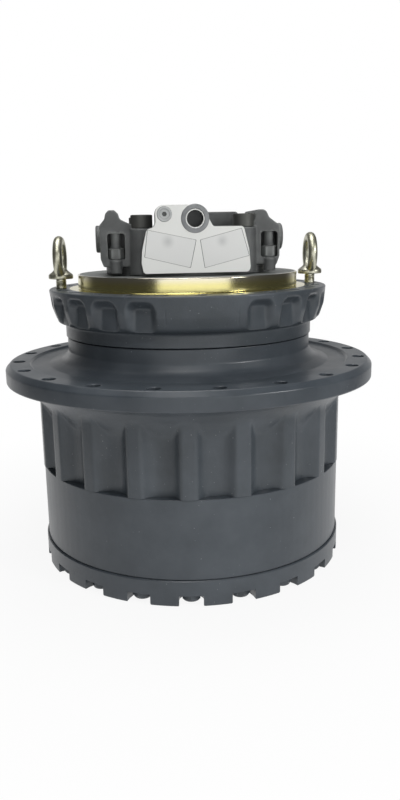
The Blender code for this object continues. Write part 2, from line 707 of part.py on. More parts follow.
def make_end_cover(material):
    recess_radius = PAD_RADIUS + SEAT_GAP
    outer = [
        (COVER_FOOT_INNER_RADIUS - COVER_FACE_RISE, COVER_FACE_RISE),
        (COVER_FOOT_INNER_RADIUS, 0.0),
        (COVER_RADIUS, 0.0),
        (COVER_RADIUS, COVER_HEIGHT),
        (SPIGOT_RADIUS, COVER_HEIGHT),
        (SPIGOT_RADIUS, COVER_HEIGHT + SPIGOT_HEIGHT),
    ]
    inner = [
        (SPIGOT_RADIUS - SPIGOT_WALL, COVER_HEIGHT + SPIGOT_HEIGHT),
        (COVER_POCKET_RADIUS, COVER_FLOOR),
        (recess_radius, COVER_FLOOR),
        (recess_radius, COVER_FLOOR - PAD_RECESS),
    ]
    turn = rib_angle(0) + PITCH / 4.0
    rings = [circle(radius, height, TURNED_SIDES, turn) for radius, height in outer]
    rings += [circle(radius, height, INNER_SIDES) for radius, height in inner]
    cover = stacked("end_cover", rings, material)
    pockets = []
    for index in range(RIB_COUNT):
        angle = rib_angle(index)
        outward = Vector(polar(COVER_RADIUS - BOLT_CIRCLE_RADIUS + CUT_OVERRUN, angle))
        outline = []
        for step in range(COVER_POCKET_STEPS + 1):
            around = angle + math.pi / 2.0 + math.pi * step / COVER_POCKET_STEPS
            centre = Vector(polar(BOLT_CIRCLE_RADIUS, angle))
            outline.append(tuple(centre + Vector(polar(SCALLOP_RADIUS, around))))
        outline.append(tuple(Vector(outline[-1]) + outward))
        outline.append(tuple(Vector(outline[0]) + outward))
        pockets.append(prism("pocket", outline, -CUT_OVERRUN, BOLT_SEAT_HEIGHT, "Z"))
    combine(cover, [joined_tool("pockets", pockets)], "DIFFERENCE")
    low, high = BOLT_SEAT_HEIGHT - CUT_OVERRUN, COVER_HEIGHT + CUT_OVERRUN
    plug_holes = []
    for angle in (-math.pi / 2.0, math.pi / 2.0):
        centre = polar(OIL_PLUG_CIRCLE_RADIUS, angle)
        outline = round_outline(centre, OIL_PLUG_RADIUS + BOLT_HOLE_CLEARANCE, PIN_SIDES)
        plug_holes.append(prism("plug_hole", outline, -CUT_OVERRUN, COVER_FLOOR + CUT_OVERRUN, "Z"))
    combine(cover, [bolt_hole_tool(low, high), joined_tool("plug_holes", plug_holes)], "DIFFERENCE")
    return cover


def make_oil_plug(name, angle, material):
    centre = polar(OIL_PLUG_CIRCLE_RADIUS, angle)
    head_top = COVER_FACE_RISE - SEAT_GAP
    head_bottom = head_top - OIL_PLUG_HEAD_HEIGHT
    rings = [
        circle(OIL_PLUG_SOCKET_RADIUS, head_bottom + OIL_PLUG_SOCKET_DEPTH, HEX, 0.0, centre),
        circle(OIL_PLUG_SOCKET_RADIUS, head_bottom, HEX, 0.0, centre),
        circle(OIL_PLUG_HEAD_RADIUS, head_bottom, PIN_SIDES, 0.0, centre),
        circle(OIL_PLUG_HEAD_RADIUS, head_top, PIN_SIDES, 0.0, centre),
        circle(OIL_PLUG_RADIUS, head_top, PIN_SIDES, 0.0, centre),
        circle(OIL_PLUG_RADIUS, COVER_FLOOR, PIN_SIDES, 0.0, centre),
    ]
    return stacked(name, rings, material)


def make_cover_bolts(material):
    head_top = BOLT_SEAT_HEIGHT - SEAT_GAP
    head_bottom = head_top - BOLT_HEAD_HEIGHT
    tip = HUB_BOTTOM + BOLT_THREAD_LENGTH
    for index in range(RIB_COUNT):
        angle = rib_angle(index)
        centre = polar(BOLT_CIRCLE_RADIUS, angle)
        rings = [
            circle(BOLT_HEAD_CORNER_RADIUS, head_bottom, HEX, angle, centre),
            circle(BOLT_HEAD_CORNER_RADIUS, head_top, HEX, angle, centre),
            circle(BOLT_RADIUS, head_top, HEX, angle, centre),
            circle(BOLT_RADIUS, tip, HEX, angle, centre),
        ]
        stacked(f"cover_bolt_{index + 1:02d}", rings, material)


def make_thrust_pad(material):
    profile = [(PAD_RADIUS, PAD_BOTTOM), (PAD_RADIUS, PAD_BOTTOM + PAD_HEIGHT)]
    turned("thrust_pad", profile, material, INNER_SIDES)


# Gear train

def make_input_shaft(material):
    outline = gear_outline(FIRST_SUN_TEETH, sun_turn(FIRST_SUN_TEETH, FIRST_PLANET_TEETH))
    sun_bottom, sun_top = FIRST_GEAR_BOTTOM, FIRST_GEAR_TOP - SUN_SHORTER
    rings = [
        circle(SHAFT_FOOT_RADIUS, SHAFT_BOTTOM, PIN_SIDES),
        circle(SHAFT_FOOT_RADIUS, sun_bottom, PIN_SIDES),
        outline_ring(outline, sun_bottom),
        outline_ring(outline, sun_top),
        circle(SHAFT_RADIUS, sun_top, PIN_SIDES),
        circle(SHAFT_RADIUS, SHAFT_TOP, PIN_SIDES),
    ]
    return stacked("input_shaft", rings, material)


def make_first_carrier(material):
    top = FIRST_PLATE_BOTTOM + FIRST_PLATE
    outline = []
    for step in range(INNER_SIDES):
        angle = 2.0 * math.pi * step / INNER_SIDES
        lobe = math.cos(PLANET_COUNT * (angle - planet_azimuth(0)))
        outline.append((angle, FIRST_PLATE_RADIUS + FIRST_PLATE_LOBE * lobe))
    hole = SUN_STUB_RADIUS + SEAT_GAP
    rings = [
        circle(hole, FIRST_PLATE_BOTTOM, 2 * PIN_SIDES),
        outline_ring(outline, FIRST_PLATE_BOTTOM),
        outline_ring(outline, top),
        circle(hole, top, 2 * PIN_SIDES),
    ]
    carrier = stacked("first_carrier", rings, material, closed=True)
    pins = []
    for index in range(PLANET_COUNT):
        azimuth = planet_azimuth(index)
        outline = round_outline(polar(FIRST_CENTRES, azimuth), PIN_RADIUS, PIN_SIDES, azimuth)
        low = FIRST_GEAR_BOTTOM + PIN_END_RISE
        pins.append(prism("pin", outline, low, FIRST_PLATE_BOTTOM + FIRST_PIN_ROOT, "Z"))
    combine(carrier, [joined_tool("pins", pins)], "UNION")
    return carrier


def make_second_sun(material):
    outline = gear_outline(SECOND_SUN_TEETH, sun_turn(SECOND_SUN_TEETH, SECOND_PLANET_TEETH))
    shaft_hole = bore(SHAFT_RADIUS, PIN_SIDES, SUN_BORE_GAP)
    stub_bottom = FIRST_PLATE_BOTTOM + SEAT_GAP
    gear_bottom = FIRST_PLATE_BOTTOM + FIRST_PLATE + SEAT_GAP
    gear_top = SECOND_GEAR_TOP - SUN_SHORTER
    rings = [
        circle(shaft_hole, stub_bottom, PIN_SIDES),
        circle(SUN_STUB_RADIUS, stub_bottom, 2 * PIN_SIDES),
        circle(SUN_STUB_RADIUS, gear_bottom, 2 * PIN_SIDES),
        outline_ring(outline, gear_bottom),
        outline_ring(outline, gear_top),
        circle(shaft_hole, gear_top, PIN_SIDES),
    ]
    return stacked("second_sun", rings, material, closed=True)


def make_second_carrier(material):
    profile = [
        (SECOND_BORE_RADIUS, SECOND_PLATE_BOTTOM),
        (SECOND_PLATE_RADIUS, SECOND_PLATE_BOTTOM),
        (SECOND_PLATE_RADIUS, SECOND_PLATE_TOP),
        (SECOND_NECK_RADIUS, SECOND_PLATE_TOP),
        (SECOND_NECK_RADIUS, SECOND_NECK_TOP),
        (SECOND_BORE_RADIUS, SECOND_NECK_TOP),
    ]
    carrier = turned("second_carrier", profile, material, INNER_SIDES, closed=True)
    holes = []
    for index in range(PLANET_COUNT):
        azimuth = planet_azimuth(index)
        centre = polar(SECOND_CENTRES, azimuth)
        outline = round_outline(centre, PIN_RADIUS + SEAT_GAP, PIN_SIDES, azimuth)
        low, high = SECOND_PLATE_BOTTOM - CUT_OVERRUN, SECOND_PLATE_TOP + CUT_OVERRUN
        holes.append(prism("pin_hole", outline, low, high, "Z"))
    combine(carrier, [joined_tool("pin_holes", holes)], "DIFFERENCE")
    return carrier


def make_second_pins(material):
    low = SECOND_GEAR_BOTTOM + PIN_END_RISE
    for index in range(PLANET_COUNT):
        azimuth = planet_azimuth(index)
        centre = polar(SECOND_CENTRES, azimuth)
        profile = [(PIN_RADIUS, low), (PIN_RADIUS, SECOND_PLATE_TOP)]
        turned(f"second_pin_{index + 1}", profile, material, PIN_SIDES, azimuth, centre)


# Bearings, nut and floating seal

def make_bearing(prefix, bottom, widens_up, cup_material, cone_material):
    """A taper roller bearing: the cup sits in the hub, the cone with its rollers on the spindle."""
    top = bottom + BEARING_WIDTH
    seat = SPINDLE_SEAT_RADIUS + SEAT_GAP
    cup_lower, cup_upper = BEARING_NARROW_RADIUS, BEARING_WIDE_RADIUS
    if not widens_up:
        cup_lower, cup_upper = cup_upper, cup_lower
    cup = [
        (BEARING_OUTER_RADIUS, bottom), (BEARING_OUTER_RADIUS, top),
        (bore(cup_upper, INNER_SIDES), top), (bore(cup_lower, INNER_SIDES), bottom),
    ]
    turned(f"{prefix}_cup", cup, cup_material, INNER_SIDES, closed=True)
    cone = [(seat, bottom), (cup_lower, bottom), (cup_upper, top), (seat, top)]
    turned(f"{prefix}_cone", cone, cone_material, INNER_SIDES, closed=True)


def make_bearing_nut(material):
    top = LOWER_BEARING_BOTTOM - SEAT_GAP
    bottom = top - NUT_HEIGHT
    hole = NOSE_RADIUS + SEAT_GAP
    outline = []
    for notch in range(NUT_NOTCH_COUNT):
        middle = 2.0 * math.pi * notch / NUT_NOTCH_COUNT
        half = NUT_NOTCH_HALF_ANGLE
        outline += [
            (middle - half, NUT_RADIUS), (middle - half, NUT_RADIUS - NUT_NOTCH_DEPTH),
            (middle + half, NUT_RADIUS - NUT_NOTCH_DEPTH), (middle + half, NUT_RADIUS),
        ]
        reach = 2.0 * math.pi / NUT_NOTCH_COUNT - 2.0 * half
        for step in range(1, NUT_LAND_STEPS):
            outline.append((middle + half + reach * step / NUT_LAND_STEPS, NUT_RADIUS))
    rings = [
        circle(hole, bottom, INNER_SIDES), outline_ring(outline, bottom),
        outline_ring(outline, top), circle(hole, top, INNER_SIDES),
    ]
    return stacked("bearing_nut", rings, material, closed=True)


def make_seal_rings(material):
    """Two lapped rings, face to face. Each is thin at its outer edge, where its rubber ring sat."""
    for name, face, back in (
        ("moving_seal_ring", SEAL_FACE_HEIGHT - SEAT_GAP / 2.0, SEAL_POCKET_BOTTOM + SEAT_GAP),
        ("fixed_seal_ring", SEAL_FACE_HEIGHT + SEAT_GAP / 2.0, SEAL_GROOVE_TOP - SEAT_GAP),
    ):
        profile = [
            (SEAL_INNER_RADIUS, face), (SEAL_OUTER_RADIUS, face),
            (SEAL_OUTER_RADIUS - SEAL_TAPER / 2.0, back), (SEAL_INNER_RADIUS, back),
        ]
        turned(name, profile, material, INNER_SIDES, closed=True)


# Hub

def rib_row(height):
    """One row of the ribbed barrel. The scallops are cylinders that run up into the flare."""
    half = RIB_SCALLOP_HALF_WIDTH
    cutter = (half * half + RIB_SCALLOP_DEPTH * RIB_SCALLOP_DEPTH) / (2.0 * RIB_SCALLOP_DEPTH)
    axis_radius = SCALLOP_VALLEY_RADIUS + cutter
    flare_share = max(0.0, height - FLARE_BOTTOM) / FLARE_HEIGHT
    flare = SCALLOP_VALLEY_RADIUS + flare_share * (FLARE_RADIUS - SCALLOP_VALLEY_RADIUS)
    across_shares = (-1.0, -0.55, 0.0, 0.55, 1.0)
    points = []
    for index in range(RIB_COUNT):
        middle = rib_angle(index) + PITCH / 2.0
        for share in across_shares:
            across = share * half
            scallop = axis_radius - math.sqrt(cutter * cutter - across * across)
            points.append((middle + across / RIB_RADIUS, max(flare, scallop)))
    return outline_ring(points, height)


def make_hub(material):
    ridge_rise = FLARE_HEIGHT * RIB_SCALLOP_DEPTH / (FLARE_RADIUS - SCALLOP_VALLEY_RADIUS)
    turn = rib_angle(0) + PITCH / 4.0
    rings = [rib_row(HUB_BOTTOM)]
    rings += [rib_row(FLARE_BOTTOM + share * ridge_rise) for share in FLARE_ROW_SHARES]
    land_height = FLANGE_TOP - FLANGE_LAND_DROP
    outer = [
        (FLARE_RADIUS, FLANGE_BOTTOM),
        (FLANGE_RADIUS, FLANGE_BOTTOM),
        (FLANGE_RADIUS, FLANGE_TOP - FLANGE_CHAMFER),
        (FLANGE_RADIUS - FLANGE_CHAMFER, FLANGE_TOP),
        (FLANGE_LAND_RADIUS, FLANGE_TOP),
        (FLANGE_LAND_RADIUS - FLANGE_LAND_DROP, land_height),
        (NECK_FILLET_RADIUS, land_height),
        ((NECK_FILLET_RADIUS + NECK_RADIUS) / 2.0, land_height + NECK_FILLET_HEIGHT),
        (NECK_RADIUS, land_height + NECK_FILLET_TOP),
        (NECK_RADIUS, NECK_TOP),
    ]
    rings += [circle(radius, height, TURNED_SIDES, turn) for radius, height in outer]
    bearing_bore = BEARING_OUTER_RADIUS + SEAT_GAP
    inner = [
        (SEAL_POCKET_RADIUS, NECK_TOP),
        (SEAL_POCKET_RADIUS, SEAL_POCKET_BOTTOM),
        (bearing_bore, SEAL_POCKET_BOTTOM),
        (bearing_bore, UPPER_BEARING_BOTTOM - SEAT_GAP),
        (HUB_SHOULDER_RADIUS, UPPER_BEARING_BOTTOM - SEAT_GAP),
        (HUB_SHOULDER_RADIUS, LOWER_BEARING_BOTTOM + BEARING_WIDTH + SEAT_GAP),
        (bearing_bore, LOWER_BEARING_BOTTOM + BEARING_WIDTH + SEAT_GAP),
        (bearing_bore, LOWER_BEARING_BOTTOM - HUB_CAVITY_CONE),
        (HUB_CAVITY_RADIUS, LOWER_BEARING_BOTTOM - 2.0 * HUB_CAVITY_CONE),
        (HUB_CAVITY_RADIUS, HUB_BOTTOM),
    ]
    rings += [circle(radius, height, INNER_SIDES) for radius, height in inner]
    hub = stacked("hub", rings, material, closed=True)
    holes = []
    for index in range(RIB_COUNT):
        angle = rib_angle(index) + PITCH / 2.0
        centre = polar(SPROCKET_HOLE_CIRCLE_RADIUS, angle)
        outline = round_outline(centre, SPROCKET_HOLE_RADIUS, SPROCKET_HOLE_SIDES, angle)
        holes.append(prism("hole", outline, FLANGE_BOTTOM - CUT_OVERRUN, FLANGE_TOP + CUT_OVERRUN, "Z"))
    thread_end = HUB_BOTTOM + BOLT_THREAD_LENGTH + BOLT_HOLE_SPARE
    tools = [joined_tool("sprocket_holes", holes), bolt_hole_tool(HUB_BOTTOM - CUT_OVERRUN, thread_end)]
    combine(hub, tools, "DIFFERENCE")
    return hub


# Spindle

def pocket_angles():
    """Pockets lie between the frame holes, but for the middle ones in front and behind."""
    angles = []
    step = 2.0 * math.pi / FRAME_HOLE_COUNT
    for index in range(FRAME_HOLE_COUNT):
        if index in (0, FRAME_HOLE_COUNT // 2 - 1, FRAME_HOLE_COUNT // 2, FRAME_HOLE_COUNT - 1):
            continue
        angles.append(-math.pi / 2.0 + step * (index + 0.5))
    return angles


def make_spindle(material):
    shaft_socket = bore(SHAFT_RADIUS, PIN_SIDES)
    neck_bore = SECOND_NECK_RADIUS + SEAT_GAP
    neck_bore_top = SECOND_NECK_TOP + SEAT_GAP
    curve_rise = FRAME_FLANGE_CURVE_TOP - COLLAR_TOP
    curve_reach = FRAME_FLANGE_RADIUS - COLLAR_RADIUS
    curve_shares = ((0.14, 0.2), (0.8, 0.66))
    inside = [
        circle(shaft_socket, SHAFT_TOP + SHAFT_SOCKET_SPARE, PIN_SIDES),
        circle(shaft_socket, neck_bore_top, PIN_SIDES),
        circle(neck_bore, neck_bore_top, INNER_SIDES),
        circle(neck_bore, NOSE_BOTTOM, INNER_SIDES),
    ]
    barrel = [
        (NOSE_RADIUS, NOSE_BOTTOM),
        (NOSE_RADIUS, LOWER_BEARING_BOTTOM - SEAT_GAP),
        (SPINDLE_SEAT_RADIUS, LOWER_BEARING_BOTTOM - SEAT_GAP),
        (SPINDLE_SEAT_RADIUS, UPPER_BEARING_BOTTOM + BEARING_WIDTH + SEAT_GAP),
        (UPPER_SHOULDER_RADIUS, UPPER_BEARING_BOTTOM + BEARING_WIDTH + SEAT_GAP),
        (UPPER_SHOULDER_RADIUS, SEAL_GROOVE_TOP),
        (SEAL_POCKET_RADIUS, SEAL_GROOVE_TOP),
        (SEAL_POCKET_RADIUS, LABYRINTH_HEIGHT),
    ]
    outer = [(COLLAR_RADIUS, LABYRINTH_HEIGHT), (COLLAR_RADIUS, COLLAR_TOP)]
    for out_share, up_share in curve_shares:
        outer.append((COLLAR_RADIUS + out_share * curve_reach, COLLAR_TOP + up_share * curve_rise))
    outer += [
        (FRAME_FLANGE_RADIUS, FRAME_FLANGE_CURVE_TOP),
        (FRAME_FLANGE_RADIUS, FRAME_FLANGE_TOP - FRAME_FLANGE_EDGE),
        (FRAME_FLANGE_RADIUS - FRAME_FLANGE_EDGE, FRAME_FLANGE_TOP),
        (PILOT_RADIUS, FRAME_FLANGE_TOP),
        (PILOT_RADIUS, PILOT_TOP),
    ]
    sides = 2 * FRAME_HOLE_COUNT
    rings = inside + [circle(radius, height, INNER_SIDES) for radius, height in barrel]
    rings += [circle(radius, height, sides, -math.pi / 2.0) for radius, height in outer]
    spindle = stacked("spindle", rings, material)

    holes = []
    step = 2.0 * math.pi / FRAME_HOLE_COUNT
    for index in range(FRAME_HOLE_COUNT):
        angle = -math.pi / 2.0 + step * index
        outline = round_outline(polar(FRAME_HOLE_CIRCLE_RADIUS, angle), FRAME_HOLE_RADIUS, HEX, angle)
        low = FRAME_FLANGE_TOP - FRAME_HOLE_DEPTH
        holes.append(prism("hole", outline, low, FRAME_FLANGE_TOP + CUT_OVERRUN, "Z"))
    for place in SCREW_PLACES:
        outline = round_outline(place, SCREW_RADIUS + BOLT_HOLE_CLEARANCE, HEX)
        low = PILOT_TOP - SCREW_THREAD_LENGTH - BOLT_HOLE_SPARE
        holes.append(prism("screw_hole", outline, low, PILOT_TOP + CUT_OVERRUN, "Z"))
    pockets = []
    for angle in pocket_angles():
        outline = pocket_outline()
        inner_wall = FRAME_FLANGE_RADIUS - POCKET_DEPTH
        pocket = prism("pocket", outline, inner_wall, FRAME_FLANGE_RADIUS + CUT_OVERRUN, "X")
        pocket.data.transform(Matrix.Rotation(angle, 4, "Z"))
        pockets.append(pocket)
    combine(spindle, [joined_tool("holes", holes), joined_tool("pockets", pockets)], "DIFFERENCE")
    return spindle


def pocket_outline():
    """Round-cornered at the roof and open below, where the flange curves in."""
    half = POCKET_WIDTH / 2.0
    roof = FRAME_FLANGE_TOP - POCKET_ROOF_DROP
    return [
        (-half, POCKET_BOTTOM), (half, POCKET_BOTTOM), (half, roof - POCKET_CORNER),
        (half - POCKET_CORNER, roof), (-half + POCKET_CORNER, roof), (-half, roof - POCKET_CORNER),
    ]


# Eye bolts

def make_eye_bolt(name, side, material):
    """A lifting eye: round bar ring on a domed collar, with a threaded shank below."""
    centre = (side * FRAME_HOLE_CIRCLE_RADIUS, 0.0)
    collar_top = EYE_COLLAR_BOTTOM + EYE_COLLAR_HEIGHT
    turn = 0.0
    rings = [
        circle(EYE_SHANK_RADIUS, FRAME_FLANGE_TOP - EYE_THREAD_LENGTH, HEX, turn, centre),
        circle(EYE_SHANK_RADIUS, FRAME_FLANGE_TOP, HEX, turn, centre),
        circle(EYE_SHANK_RADIUS, EYE_COLLAR_BOTTOM, PIN_SIDES, turn, centre),
        circle(EYE_COLLAR_RADIUS, EYE_COLLAR_BOTTOM, PIN_SIDES, turn, centre),
        circle(EYE_COLLAR_RADIUS, EYE_COLLAR_BOTTOM + EYE_COLLAR_HEIGHT / 3.0, PIN_SIDES, turn, centre),
        circle(EYE_COLLAR_TOP_RADIUS, collar_top, PIN_SIDES, turn, centre),
    ]
    bolt = stacked(name, rings, material)
    ring_height = collar_top + EYE_RING_RADIUS + EYE_BAR_RADIUS - EYE_RING_SUNK
    bm = bmesh.new()
    loops = []
    for step in range(EYE_RING_SIDES):
        around = 2.0 * math.pi * step / EYE_RING_SIDES
        loop = []
        for part in range(EYE_BAR_SIDES):
            angle = 2.0 * math.pi * part / EYE_BAR_SIDES
            reach = EYE_RING_RADIUS + EYE_BAR_RADIUS * math.cos(angle)
            place = Vector((
                EYE_BAR_RADIUS * math.sin(angle), reach * math.cos(around), reach * math.sin(around)
            ))
            loop.append(bm.verts.new(place))
        loops.append(loop)
    for step, loop in enumerate(loops):
        other = loops[(step + 1) % EYE_RING_SIDES]
        for part in range(EYE_BAR_SIDES):
            beside = (part + 1) % EYE_BAR_SIDES
            bm.faces.new((loop[part], loop[beside], other[beside], other[part]))
    eye = make_object(bm, "eye", material)
    eye.data.transform(
        Matrix.Translation((centre[0], 0.0, ring_height)) @ Matrix.Rotation(EYE_TURN, 4, "Z")
    )
    combine(bolt, [eye], "UNION")
    return bolt


# Motor cover and its fittings

def port_face_outline():
    """The machined face: a plate with a lobe round the plug and the drain port."""
    half, centre = PORT_FACE_HALF_WIDTH, MOTOR_CENTRE
    plug, drain = PLUG_X - PLUG_BOSS_RADIUS, DRAIN_X + DRAIN_BOSS_RADIUS
    waist = PORT_FACE_BOTTOM + PORT_FACE_WAIST
    step = (LOBE_TOP - SHOULDER_HEIGHT) / 3.0
    return [
        (centre - half + PORT_FACE_CORNER, PORT_FACE_BOTTOM),
        (centre + half - PORT_FACE_CORNER, PORT_FACE_BOTTOM),
        (centre + half, waist - PORT_FACE_CORNER),
        (centre + half, waist + PORT_FACE_CORNER),
        (centre + SHOULDER_HALF_WIDTH + PORT_FACE_EDGE, SHOULDER_HEIGHT - PORT_FACE_EDGE),
        (centre + SHOULDER_HALF_WIDTH - PORT_FACE_EDGE, SHOULDER_HEIGHT),
        (drain + PORT_FACE_CORNER / 2.0, SHOULDER_HEIGHT),
        (drain, SHOULDER_HEIGHT + step),
        (drain - PORT_FACE_CORNER, LOBE_TOP - step),
        (DRAIN_X, LOBE_TOP),
        (PLUG_X, LOBE_TOP),
        (plug + PORT_FACE_CORNER / 2.0, LOBE_TOP - step / 2.0),
        (plug, LOBE_TOP - step),
        (plug, SHOULDER_HEIGHT + step),
        (centre - SHOULDER_HALF_WIDTH + PORT_FACE_EDGE, SHOULDER_HEIGHT),
        (centre - SHOULDER_HALF_WIDTH - PORT_FACE_EDGE, SHOULDER_HEIGHT - PORT_FACE_EDGE),
        (centre - half, waist + PORT_FACE_CORNER),
        (centre - half, waist - PORT_FACE_CORNER),
    ]


def housing_outline(side):
    """Front view of one valve housing: a block with an ear on top and a narrower foot."""
    outline = [
        (HOUSING_INNER_X, MOTOR_BASE_TOP - HOUSING_FOOT_INSET),
        (HOUSING_OUTER_X - HOUSING_FOOT_INSET, MOTOR_BASE_TOP - HOUSING_FOOT_INSET),
        (HOUSING_OUTER_X, MOTOR_BASE_TOP + HOUSING_FOOT_INSET),
        (HOUSING_OUTER_X, HOUSING_TOP),
        (HOUSING_EAR_OUTER_X, HOUSING_EAR_TOP),
        (HOUSING_EAR_INNER_X, HOUSING_EAR_TOP),
        (HOUSING_INNER_X, HOUSING_TOP),
    ]
    return [(MOTOR_CENTRE + side * x, z) for x, z in outline]


def make_motor_cover(material):
    centre = MOTOR_CENTRE
    base = [(MOTOR_BASE_RADIUS, MOTOR_BOTTOM), (MOTOR_BASE_RADIUS, MOTOR_BASE_TOP)]
    cover = turned("motor_cover", base, material, INNER_SIDES)
    front = -PORT_FACE_DISTANCE
    body = box_outline(centre - BODY_HALF_WIDTH, centre + BODY_HALF_WIDTH, -BODY_FRONT, BODY_BACK)
    core_front = -PORT_FACE_BACK - CUT_OVERRUN
    core = box_outline(centre - CORE_HALF_WIDTH, centre + CORE_HALF_WIDTH, core_front, 0.0)
    lobe = box_outline(
        PLUG_X - PLUG_BOSS_RADIUS, DRAIN_X + DRAIN_BOSS_RADIUS - PORT_FACE_EDGE,
        BODY_TOP - CUT_OVERRUN, LOBE_TOP - PORT_FACE_EDGE,
    )
    tools = [
        prism("body", body, MOTOR_BASE_TOP - CUT_OVERRUN, BODY_TOP, "Z"),
        prism("core", core, MOTOR_BASE_TOP - CUT_OVERRUN, BODY_TOP - PORT_FACE_EDGE, "Z"),
        prism("face", port_face_outline(), front, -PORT_FACE_BACK, "Y"),
        prism("lobe", lobe, core_front, -LOBE_BACK, "Y"),
    ]
    for side in (-1.0, 1.0):
        tools.append(prism("housing", housing_outline(side), -HOUSING_FRONT, HOUSING_BACK, "Y"))
    for place in SCREW_PLACES:
        outline = round_outline(place, BOSS_RADIUS, PIN_SIDES, math.pi / PIN_SIDES)
        tools.append(prism("boss", outline, MOTOR_BOTTOM, BOSS_TOP, "Z"))
    top, edge = REAR_BLOCK_TOP, REAR_BLOCK_EDGE
    rear = [
        (centre + REAR_BLOCK_INNER_X, BODY_TOP - edge), (centre + REAR_BLOCK_OUTER_X, BODY_TOP - edge),
        (centre + REAR_BLOCK_OUTER_X, top - edge), (centre + REAR_BLOCK_OUTER_X - edge, top),
        (centre + REAR_BLOCK_INNER_X + edge, top), (centre + REAR_BLOCK_INNER_X, top - edge),
    ]
    tools.append(prism("rear_block", rear, REAR_BLOCK_FRONT, REAR_BLOCK_BACK, "Y"))
    barrel = round_outline((SPOOL_Y, SPOOL_HEIGHT), SPOOL_RADIUS + SPOOL_WALL, SPOOL_SIDES)
    tools.append(prism("spool_barrel", barrel, centre - HOUSING_INNER_X, centre + HOUSING_INNER_X, "X"))
    drain = round_outline((DRAIN_X, DRAIN_HEIGHT), DRAIN_BOSS_RADIUS, 2 * PIN_SIDES)
    tools.append(prism("drain_boss", drain, front - DRAIN_BOSS_PROUD, -LOBE_BACK - CUT_OVERRUN, "Y"))
    combine(cover, tools, "UNION")

    cuts = []
    for side in (-1.0, 1.0):
        outline = round_outline((centre + side * PORT_X, PORT_HEIGHT), PORT_RADIUS, PORT_SIDES)
        cuts.append(prism("port", outline, front - CUT_OVERRUN, front + PORT_DEPTH, "Y"))
        inner, outer = side * RELIEF_POCKET_INNER_X, side * RELIEF_POCKET_OUTER_X
        pocket = box_outline(
            centre + min(inner, outer), centre + max(inner, outer),
            RELIEF_POCKET_BOTTOM, RELIEF_POCKET_TOP,
        )
        back = -HOUSING_FRONT + RELIEF_POCKET_DEPTH
        cuts.append(prism("pocket", pocket, -HOUSING_FRONT - CUT_OVERRUN, back, "Y"))
    drain = round_outline((DRAIN_X, DRAIN_HEIGHT), DRAIN_BORE_RADIUS, PIN_SIDES)
    cuts.append(prism("drain", drain, front - CUT_OVERRUN, front + DRAIN_BORE_DEPTH, "Y"))
    plug = round_outline((PLUG_X, PLUG_HEIGHT), PLUG_RADIUS + SEAT_GAP, PIN_SIDES)
    cuts.append(prism("plug", plug, front - CUT_OVERRUN, front + PLUG_DEPTH + SEAT_GAP, "Y"))
    for place in SCREW_PLACES:
        outline = round_outline(place, SCREW_RADIUS + BOLT_HOLE_CLEARANCE, HEX)
        cuts.append(prism("screw", outline, MOTOR_BOTTOM - CUT_OVERRUN, BOSS_TOP + CUT_OVERRUN, "Z"))
    spool_place = (SPOOL_Y, SPOOL_HEIGHT)
    spool_bore = round_outline(spool_place, SPOOL_RADIUS + SEAT_GAP, SPOOL_SIDES)
    reach = HOUSING_OUTER_X + CUT_OVERRUN
    cuts.append(prism("spool_bore", spool_bore, centre - reach, centre + reach, "X"))
    combine(cover, [joined_tool("cuts", cuts)], "DIFFERENCE")
    return cover


def make_pressure_plug(material):
    """A socket-headed plug that closes a test port in the face."""
    front, back = -PORT_FACE_DISTANCE - PLUG_PROUD, -PORT_FACE_DISTANCE + PLUG_DEPTH
    plug = prism(
        "pressure_plug", round_outline((PLUG_X, PLUG_HEIGHT), PLUG_RADIUS, PIN_SIDES),
        front, back, "Y", material,
    )
    socket = round_outline((PLUG_X, PLUG_HEIGHT), PLUG_SOCKET_RADIUS, HEX)
    socket = prism("socket", socket, front - CUT_OVERRUN, front + PLUG_DEPTH / 2.0, "Y")
    combine(plug, [socket], "DIFFERENCE")
    return plug


def along_x(name, rings, centre_y, centre_z, material):
    """A turned solid whose axis runs along X, from (radius, x) points."""
    bm = bmesh.new()
    stack(bm, [circle(radius, x, sides) for radius, x, sides in rings])
    for vert in bm.verts:
        across, up, along = vert.co
        vert.co = (along, centre_y + across, centre_z + up)
    return make_object(bm, name, material)


def make_spool_and_caps(spool_material, cap_material):
    centre = MOTOR_CENTRE
    half = HOUSING_OUTER_X - SPOOL_TRAVEL - SEAT_GAP
    sides = SPOOL_SIDES
    land, waist = SPOOL_RADIUS, SPOOL_WAIST_RADIUS
    inner = half / 3.0
    rings = [
        (land, centre - half, sides), (land, centre - half + SPOOL_LAND, sides),
        (waist, centre - half + SPOOL_LAND, sides), (waist, centre - inner, sides),
        (land, centre - inner, sides), (land, centre + inner, sides),
        (waist, centre + inner, sides), (waist, centre + half - SPOOL_LAND, sides),
        (land, centre + half - SPOOL_LAND, sides), (land, centre + half, sides),
    ]
    spool = along_x("counterbalance_spool", rings, SPOOL_Y, SPOOL_HEIGHT, spool_material)
    spool.data.transform(Matrix.Translation((-centre, -SPOOL_Y, -SPOOL_HEIGHT)))
    spool.location = (centre, SPOOL_Y, SPOOL_HEIGHT)
    for side, name in ((-1.0, "valve_cap_left"), (1.0, "valve_cap_right")):
        start = centre + side * (HOUSING_OUTER_X + SEAT_GAP)
        end = start + side * CAP_THICKNESS
        rings = [
            (CAP_RADIUS, start, 2 * PIN_SIDES),
            (CAP_RADIUS, end - side * CAP_EDGE, 2 * PIN_SIDES),
            (CAP_RADIUS - CAP_EDGE, end, 2 * PIN_SIDES),
        ]
        along_x(name, rings, SPOOL_Y, SPOOL_HEIGHT, cap_material)


